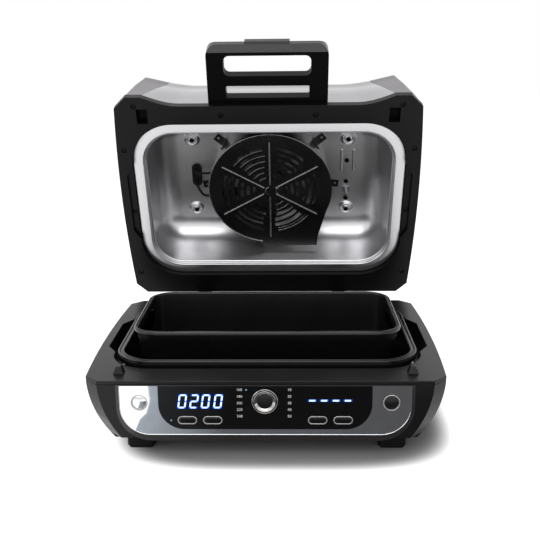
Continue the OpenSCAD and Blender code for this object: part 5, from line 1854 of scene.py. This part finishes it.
@dataclass
class Lid:
    """Frame, cover, liner and what hangs in the liner.

    The sizes of the ceiling, the flange, a dimple and the leads are in millimetres. Each boss has its place
    along X, its height and its radius. Arcs and turns are in degrees.
    """

    bench: Bench
    patterns: Patterns
    place: LidPlace
    frame_edge: float = 0.6 * MM
    grommet_edge: float = 0.9 * MM
    airway: tuple[Shell, ...] = (
        ("fan_guard", Look.GUARD, 0.35 * MM, 2), ("fan_scroll", Look.GUARD, 0.2 * MM, 2),
        ("guard_clips", Look.GUARD, 0.3 * MM, 2), ("temperature_probe", Look.ZINC, 0.3 * MM, 2))
    fittings: tuple[Shell, ...] = (
        ("handle_frame", Look.HANDLE_BLACK, 1.6 * MM, 3), ("handle_grip", Look.GRIP, 1.8 * MM, 3),
        ("hinge_arms", Look.FRAME_BLACK, 1.0 * MM, 2), ("interlock_switches", Look.HANDLE_BLACK, 0.5 * MM, 2))
    cover_t: float = 2.2 * MM
    seam_edge: float = 0.7 * MM
    liner_t: float = 1.2 * MM
    liner_radius: float = 60 * MM
    least_radius: float = 8 * MM
    corner_steps: int = 20
    ceiling: float = 83.0
    flange: Line = (
        (0, 8.4, 0), (0, 7.6, 0.4), (15, 5.6, 1.6), (15, 10.5, 1.4), (18, 10.5, 2.4))
    roof: Pairs = ((24.4, 33), (72, 0))
    dimples: Pair = (117 * MM, 60 * MM)
    dimple: Line = (
        (0, -4, 0), (3.9, -4, 0.5), (5.4, -1.8, 0.8), (8.2, -4, 1), (11.5, 0, 2), (15, 0.05, 0))
    bead_xs: Pair = (108 * MM, 126 * MM)
    bead_ys: Pair = (-41 * MM, -5 * MM)
    bead_r: float = 2 * MM
    bead_steps: int = 8
    arm_x: float = 105 * MM
    notch: Point = (10.5 * MM, 8 * MM, 16.5 * MM)
    grille: tuple[int, float, float, float, float] = (9, 7 * MM, 3.5 * MM, 58 * MM, 84 * MM)
    tool_reach: Pair = (-40 * MM, 20 * MM)
    head: float = 3.5 * MM
    head_h: float = 2.4 * MM
    head_middle: float = 1.1 * MM
    recess: float = 1.1 * MM
    # Painted highlights on the fan guard: bright steel on the six rib tops, on the lit arc of the rim, on the lit
    # arcs round the bosses, and on the lit slot edges of two sixths.
    ribs: int = 6
    rib_inner: float = 10 * MM
    rib_reach: float = 0.77
    rib_width: float = 2.2 * MM
    rib_h: float = 1.0 * MM
    rim_h: float = 3.0 * MM
    rim_in: float = 0.7 * MM
    rim_highlight_arc: Pair = (98, 323)
    rim_highlight_wire: float = 0.75 * MM
    bosses: tuple[Point, ...] = ((0.0, 0.9 * MM, 6.3 * MM), (14 * MM, 1.8 * MM, 4.8 * MM))
    boss_highlight_arc: Pair = (105, 255)
    boss_highlight_wire: float = 0.9 * MM
    slot_rows: Lengths = tuple((24 + 9 * i) * MM for i in range(6))
    slot_half: float = 2.4 * MM
    slot_turn: float = 25.0
    slot_web: float = 250 * MM
    slot_sway: float = 3.0
    slot_wave: float = 8.0
    lit_sixths: tuple[tuple[int, int], ...] = ((240, -1), (60, 1))
    lip_highlight_wire: float = 0.42 * MM
    guard_face: float = 2.8 * MM
    arc_steps: int = 48
    lead_r: float = 2 * MM
    lead_start: Point = (-113, 0, -3)
    lead_routes: tuple[tuple[Point, ...], ...] = (
        ((0, -10, 0), (0, -10, -4), (1, -10, -9), (5, -10, -13), (11, -11, -14), (24.4, -11, -14)),
        ((0, 9, 0), (0, 9, -4), (1, 12, -10), (5, 18, -15), (12, 25, -18), (26.4, 26, -18)))

    def build(self) -> None:
        """Builds the lid."""
        self.bench.shell("lid_frame", Look.FRAME_BLACK, self.frame_edge)
        self._cover()
        self._liner()
        self._guard()
        self._screws()
        self._wires()
        self.bench.shells(self.fittings)
        self.bench.keep(Look.BRASS, "hinge_bushes")
        self.bench.keep(Look.ZINC, "motor_bracket", "motor_shaft", "coil_clips")
        self.bench.keep(Look.ALLOY, "motor", "cooling_fan")
        self.bench.keep(Look.FAN_METAL, "fan_impeller")
        self.bench.keep(Look.SHEATH, "heater_coil")

    def _cover(self) -> None:
        """Builds the three panels of the cover with the grille and the notches for the hinge arms."""
        dome = Dome()
        plans = [("cover_middle", "lid_cover", Look.SILVER_GLOSS, [(1, False), (-1, False)]),
                 ("cover_left", "lid_side_left", Look.SILVER_MATTE, [(-1, True)]),
                 ("cover_right", "lid_side_right", Look.SILVER_MATTE, [(1, True)])]
        for name, node, look, sides in plans:
            panel = Bench.thicken(dome.panel(name, sides), self.cover_t, -1, True)
            if node == "lid_cover":
                Bench.cut(panel, self._cover_tool(dome))
            self.place.open(panel)
            Bench.soften(Bench.smooth(panel, 28), self.seam_edge, steps=3, angle=50)
            self.bench.dress(panel, look, node)

    def _cover_tool(self, dome: Dome) -> Piece:
        """Makes the cutter for the rear grille and the two notches.

        Args:
            dome: The cover's rule.

        Returns:
            The cutter.
        """
        count, pitch, width, low, high = self.grille
        notch, foot, head = self.notch
        boxes = [(i * pitch - width / 2, i * pitch + width / 2, low, high) for i in range(-count, count + 1)]
        boxes += [(s * self.arm_x - notch, s * self.arm_x + notch, foot, head) for s in (-1, 1)]
        ys = [dome.half[1] + reach for reach in self.tool_reach]
        parts = []
        for x0, x1, z0, z1 in boxes:
            rings = [[(x0, y, z0), (x1, y, z0), (x1, y, z1), (x0, y, z1)] for y in ys]
            parts.append(Bench.clean(lofted("slot_tool", rings, True)))
        return Bench.joined("cover_tool", parts)

    def _liner(self) -> None:
        """Builds the drawn liner with its stepped flange, dimples and beads."""
        corners = [*self.flange, *[(inset, self.ceiling, radius) for inset, radius in self.roof]]
        sheet = basin("liner_sheet", self.place.box("steel_liner"), filleted(corners, 10), self.liner_radius,
                      self.least_radius, self.corner_steps, False)
        Bench.cap(sheet, 4 * (self.corner_steps + 1))

        def turn(work: bmesh.types.BMesh) -> None:
            """Points the outside of the sheet up at the ceiling, which is its last face.

            Args:
                work: The sheet's mesh.
            """
            bmesh.ops.recalc_face_normals(work, faces=work.faces)
            work.faces.ensure_lookup_table()
            if work.faces[-1].normal.z < 0:
                bmesh.ops.reverse_faces(work, faces=work.faces)

        Bench.edit(sheet, turn)
        Bench.thicken(sheet, self.liner_t, 1, False)
        x, y = self.dimples
        pressed = [self._dimple(sx * x, sy * y) for sx in (-1, 1) for sy in (-1, 1)]
        pressed += [self._bead(x) for x in self.bead_xs]
        liner = self.place.open(Bench.joined("liner_pan", [sheet, *pressed]))
        self.bench.dress(Bench.smooth(liner, 50), Look.STEEL, "steel_liner")

    def _dimple(self, x: float, y: float) -> Piece:
        """Makes one pressed screw seat that stands down from the ceiling, with a groove round the screw."""
        line = filleted([(r, self.ceiling + h, bend) for r, h, bend in self.dimple])
        return turned("dimple", [(r * MM, h * MM) for r, h in line], Matrix.Translation((x, y, 0)), 40)

    def _bead(self, x: float) -> Piece:
        """Makes one pressed bead on the ceiling.

        Args:
            x: Its place along X.

        Returns:
            The bead.
        """
        y0, y1 = self.bead_ys
        steps = self.bead_steps
        route = [(x, y0 + (y1 - y0) * i / steps, self.ceiling * MM) for i in range(steps + 1)]
        return piped("bead", route, self.bead_r, sides=16, steps=2)

    def _guard(self) -> None:
        """Builds the guard, the wall behind it and its brackets, and lays bright steel on it as painted
        highlights: on the rib tops, on arcs of the rim and bosses, and on slot edges.
        """
        self.bench.shells(self.airway)
        low, high = self.place.box("fan_guard")
        radius, middle = high.x, low.y + high.x
        sizes = {"Count": self.ribs, "Step": 2 * pi / self.ribs, "Turn": pi / 2,
                 "Inner": self.rib_inner, "Length": radius * self.rib_reach, "Width": self.rib_width}
        hub, rim = (0, middle, low.z + self.rib_h), (0, middle, low.z + self.rim_h)
        # Painted highlights: bright steel crowns on all six ribs, and wires on the lit arcs of the rim and bosses.
        crowns = self.patterns.spokes.grow("rib_crowns", [hub], Look.EDGE_STEEL, sizes)
        wires = [self._arc(rim, radius - self.rim_in, self.rim_highlight_arc, self.rim_highlight_wire)]
        for x, h, r in self.bosses:
            wires.append(self._arc((x, middle, low.z + h), r, self.boss_highlight_arc, self.boss_highlight_wire))
        wires += self._slot_highlights(middle, low.z + self.guard_face)
        edges = self.place.open(Bench.joined("guard_bright_edges", [Bench.clean(crowns, False), *wires]))
        self.bench.attach(Bench.smooth(edges, 40), Look.EDGE_STEEL, "fan_guard")

    def _slot_highlights(self, middle: float, z: float) -> list[Piece]:
        """Lays a thin bright wire as a painted highlight along the slot edge that faces the light, on the slots of
        two sixths of the guard.

        Args:
            middle: Where the guard's middle lies along Y.
            z: Height of the guard's lower face.

        Returns:
            The wires.
        """
        lips = []
        for row in self.slot_rows:
            half = self.slot_turn - self.slot_web / row
            shift = self.slot_sway * sin(radians(self.slot_wave * row / MM))
            for sixth, edge in self.lit_sixths:
                span = (sixth + shift - half, sixth + shift + half)
                lips.append(self._arc((0, middle, z), row + edge * self.slot_half, span, self.lip_highlight_wire))
        return lips

    def _arc(self, centre: Point, radius: float, span: Pair, wire: float) -> Piece:
        """Bends a thin wire along a part of a level circle.

        Args:
            centre: Middle of the circle.
            radius: Radius of the circle.
            span: Where the wire starts and ends.
            wire: Radius of the wire.

        Returns:
            The wire.
        """
        first, last = span
        x, y, z = centre
        route = []
        for i in range(self.arc_steps + 1):
            a = radians(first + (last - first) * i / self.arc_steps)
            route.append((x + radius * cos(a), y + radius * sin(a), z))
        return piped("arc", route, wire, sides=10, steps=1)

    def _screws(self) -> None:
        """Grows the screw heads on the places of the frame's and the liner's screws."""
        for name, node, seed in (("frame_screw_heads", "frame_screws", 3),
                                 ("liner_screw_heads", "liner_screws", 8)):
            sizes = {"Radius": self.head, "Height": self.head_h, "Recess": self.recess, "Seed": seed}
            heads = self.patterns.screws.grow(name, self._heads(node), Look.SCREW, sizes)
            self.place.open(Bench.clean(heads, False))
            self.bench.dress(Bench.smooth(heads, 30), Look.SCREW, node)

    def _heads(self, node: str) -> list[Vector]:
        """Finds the middle of each screw's head, in the closed lid.

        Args:
            node: The node of screws.

        Returns:
            One point for each screw.
        """
        work = bmesh.new()
        work.from_mesh(frame["nodes"][node].data)
        bmesh.ops.remove_doubles(work, verts=work.verts, dist=MERGE)
        work.transform(self.place.matrix.inverted())
        left, middles = set(work.verts), []
        while left:
            stack = [left.pop()]
            island = []
            while stack:
                vert = stack.pop()
                island.append(vert.co.copy())
                for edge in vert.link_edges:
                    other = edge.other_vert(vert)
                    if other in left:
                        left.remove(other)
                        stack.append(other)
            x = (min(v.x for v in island) + max(v.x for v in island)) / 2
            y = (min(v.y for v in island) + max(v.y for v in island)) / 2
            middles.append(Vector((x, y, min(v.z for v in island) + self.head_middle)))
        work.free()
        return sorted(middles, key=lambda v: (round(v.x, 5), round(v.y, 5)))

    def _wires(self) -> None:
        """Builds the grommet and the two leads from it to the fan's wall."""
        self.bench.shell("wire_grommet", Look.RUBBER, self.grommet_edge, steps=3)
        start = Vector(self.lead_start) + Vector((0, 0, self.ceiling))
        leads = []
        for route in self.lead_routes:
            leads.append(piped("lead", [tuple((start + Vector(p)) * MM) for p in route], self.lead_r))
        wires = self.place.open(Bench.joined("lead_wires", leads))
        self.bench.dress(Bench.smooth(wires, 60), Look.LEAD, "heater_wires")


@dataclass
class Studio:
    """Camera, floor, lights and background."""

    camera_place: Point = (0.0298, -1.0646, 0.4586)
    pitch: float = radians(14.34)
    yaw: float = radians(-1.43)
    roll: float = radians(-0.55)
    focal_pixels: float = 842.26
    picture: float = 540.0
    sensor: float = 36.0
    ambient: float = 0.3
    floor_half: float = 8.0
    # Grey of the floor. Within the painted shadow oval it shows as it is, so the floor there is darker even where
    # lit.
    floor_colour: Colour = (0.38, 0.37, 0.378, 1.0)
    floor_rough: float = 0.9
    painted_shadow_shift: float = 0.02
    painted_shadow_oval: Pair = (4.65, 5.05)
    painted_shadow_blend: Pair = (0.4, 1.05)
    front_card: tuple[float, float, float, float] = (1.6, -2.0, 0.5, 2.6)
    front_level: float = 1.7
    card_z: float = 0.5 * MM
    card_side: float = 0.6
    card_reach: Pair = (0.3, 0.34)
    card_shift: float = 0.18
    card_scale: float = 2.0
    card_edge: Pairs = (
        (-0.178, -0.45), (-0.175, -0.39), (-0.1626, -0.326), (-0.1614, -0.2916), (-0.1667, -0.274),
        (-0.1668, -0.247), (-0.17, -0.19))
    dark_stops: Stops = (
        (0.0, (0.52, 0.57, 0.62, 1.0)), (0.09, (0.38, 0.4, 0.43, 1.0)), (0.25, (0.13, 0.13, 0.135, 1.0)),
        (1.0, (0.09, 0.088, 0.09, 1.0)))
    white_stops: Stops = (
        (0.0, (1.6, 1.6, 1.6, 1.0)), (1.0, (1.3, 1.3, 1.32, 1.0)))
    lamps: tuple[tuple[str, Point, Point, float, float], ...] = (
        ("top_light", (-0.25, 0.3, 1.7), (0.0, 0.05, 0.1), 1.0, 11.5),
        ("front_light", (0.0, -1.9, 1.35), (0.0, 0.1, 0.2), 1.8, 20.0),
        ("left_light", (-1.7, -0.7, 0.9), (0.0, 0.0, 0.2), 1.1, 8.0))

    def build(self) -> None:
        """Sets the stage."""
        bpy.context.scene.view_settings.view_transform = "Standard"
        self._camera()
        self._world()
        self._floor()
        self._cards()
        self._lights()

    def _camera(self) -> None:
        """Puts the camera where the photograph was taken from."""
        ahead = Vector((sin(self.yaw) * cos(self.pitch), cos(self.yaw) * cos(self.pitch),
                        -sin(self.pitch)))
        right = Vector((cos(self.yaw), -sin(self.yaw), 0))
        up = right.cross(ahead)
        across = right * cos(self.roll) + up * sin(self.roll)
        upward = up * cos(self.roll) - right * sin(self.roll)
        data = bpy.data.cameras.new("camera")
        data.sensor_width = self.sensor
        data.lens = self.sensor * self.focal_pixels / self.picture
        data.dof.use_dof = False
        camera = Bench.link("camera", data)
        turn = Matrix((across, upward, -ahead)).transposed().to_4x4()
        camera.matrix_world = Matrix.Translation(self.camera_place) @ turn
        bpy.context.scene.camera = camera

    @staticmethod
    def _seen(graph: NodeGraph) -> Signal:
        """Tells rays that show a surface from rays that only light others.

        Args:
            graph: The nodes that ask.

        Returns:
            1 for rays from the camera, from gloss and through glass.
        """
        camera = graph.node("ShaderNodeLightPath", None, None, "Is Camera Ray")
        rays = camera.socket.node.outputs
        gloss, glass = (Signal(graph, rays[label]) for label in ("Is Glossy Ray", "Is Transmission Ray"))
        return camera.larger(gloss).larger(glass)

    def _world(self) -> None:
        """Makes the background white to the camera and a plain soft light otherwise."""
        world = bpy.data.worlds.new("studio")
        bpy.context.scene.world = world
        world.use_nodes = True
        graph = NodeGraph(world.node_tree)
        back = world.node_tree.nodes["Background"]
        level = self._seen(graph) * (1.0 - self.ambient) + self.ambient
        graph.tree.links.new(level.socket, back.inputs["Strength"])
        back.inputs["Color"].default_value = WHITE

    def _floor(self) -> None:
        """Lays a floor that keeps the shadow near the part and fades into the background: grey within a rounded
        oval shifted to the right, which is a painted shadow, and white to the camera and in reflections outside
        it.
        """
        s = self.floor_half
        floor = Bench.piece("floor", [(-s, -s, 0), (s, -s, 0), (s, s, 0), (-s, s, 0)], [(0, 1, 2, 3)])
        surface = Surface("studio_floor")
        x = (surface.along("X") - self.painted_shadow_shift) * self.painted_shadow_oval[0]
        y = surface.along("Y") * self.painted_shadow_oval[1]
        # Painted shadow: 0 inside the oval round the part, rising to 1 outside it, where the floor glows white.
        edge = (x * x * x * x + y * y * y * y).rise(*self.painted_shadow_blend)
        surface.shade({"Base Color": self.floor_colour, "Roughness": self.floor_rough,
                       "Specular IOR Level": 0.0, "Emission Color": self._seen(surface) * edge * edge,
                       "Emission Strength": 1.0})
        floor.data.materials.append(surface.material)

    def _cards(self) -> None:
        """Lays a white and a dark card before the part, which only its mirror plate and gloss panel show."""
        line = [(x, y, self.card_z) for x, y in self.card_edge]
        for name, side, stops in (("dark_card", self.card_side, self.dark_stops),
                                  ("white_card", -self.card_side, self.white_stops)):
            far = [(side, line[-1][1], self.card_z), (side, line[0][1], self.card_z)]
            self._card(name, line + far, self._card_paint(name, stops))
        wall = Surface("front_card_paint")
        glow = wall.node("ShaderNodeEmission", None, {"Color": WHITE, "Strength": self.front_level})
        w, y, z0, z1 = self.front_card
        self._card("front_card", [(-w, y, z0), (w, y, z0), (w, y, z1), (-w, y, z1)], wall.show(glow))

    @staticmethod
    def _card(name: str, corners: Sequence[Point], paint: bpy.types.Material) -> None:
        """Puts up a card that only reflections show.

        Args:
            name: Name of the card.
            corners: Its corners.
            paint: Its material.
        """
        card = Bench.piece(name, corners, [range(len(corners))])
        card.data.materials.append(paint)
        for ray in ("camera", "diffuse", "shadow", "transmission"):
            setattr(card, "visible_" + ray, False)

    def _card_paint(self, name: str, stops: Stops) -> bpy.types.Material:
        """Makes a card's paint, which only near surfaces see.

        Args:
            name: Name of the card.
            stops: Colours from the left edge to the right.

        Returns:
            The material.
        """
        surface = Surface(name + "_paint")
        across = (surface.along("X") + self.card_shift) * self.card_scale
        tone = surface.node("ShaderNodeValToRGB", {"stops": stops}, {"Fac": across}, "Color")
        light = surface.node("ShaderNodeEmission", None, {"Color": tone, "Strength": 1.0})
        clear = surface.node("ShaderNodeBsdfTransparent")
        length = surface.node("ShaderNodeLightPath", None, None, "Ray Length")
        values = {0: length.rise(*self.card_reach), 1: light, 2: clear}
        return surface.show(surface.node("ShaderNodeMixShader", None, values))

    def _lights(self) -> None:
        """Hangs a soft light overhead behind the part, a large one in front and a weaker one at the left."""
        for name, place, target, size, power in self.lamps:
            data = bpy.data.lights.new(name, "AREA")
            data.shape = "SQUARE"
            data.size = size
            data.energy = power
            lamp = Bench.link(name, data)
            lamp.location = place
            lamp.rotation_euler = (Vector(target) - Vector(place)).to_track_quat("-Z", "Y").to_euler()


def main() -> None:
    """Builds the stage and the cooker, sub-assembly by sub-assembly."""
    logging.basicConfig(level=logging.INFO, format="%(name)s: %(message)s")
    bench = Bench(frame["record"])
    patterns = Patterns()
    Studio().build()
    Base(bench).build()
    ControlPanel(bench, patterns).build()
    Pots(bench).build()
    Lid(bench, patterns, LidPlace()).build()


if __name__ == "__main__":
    main()
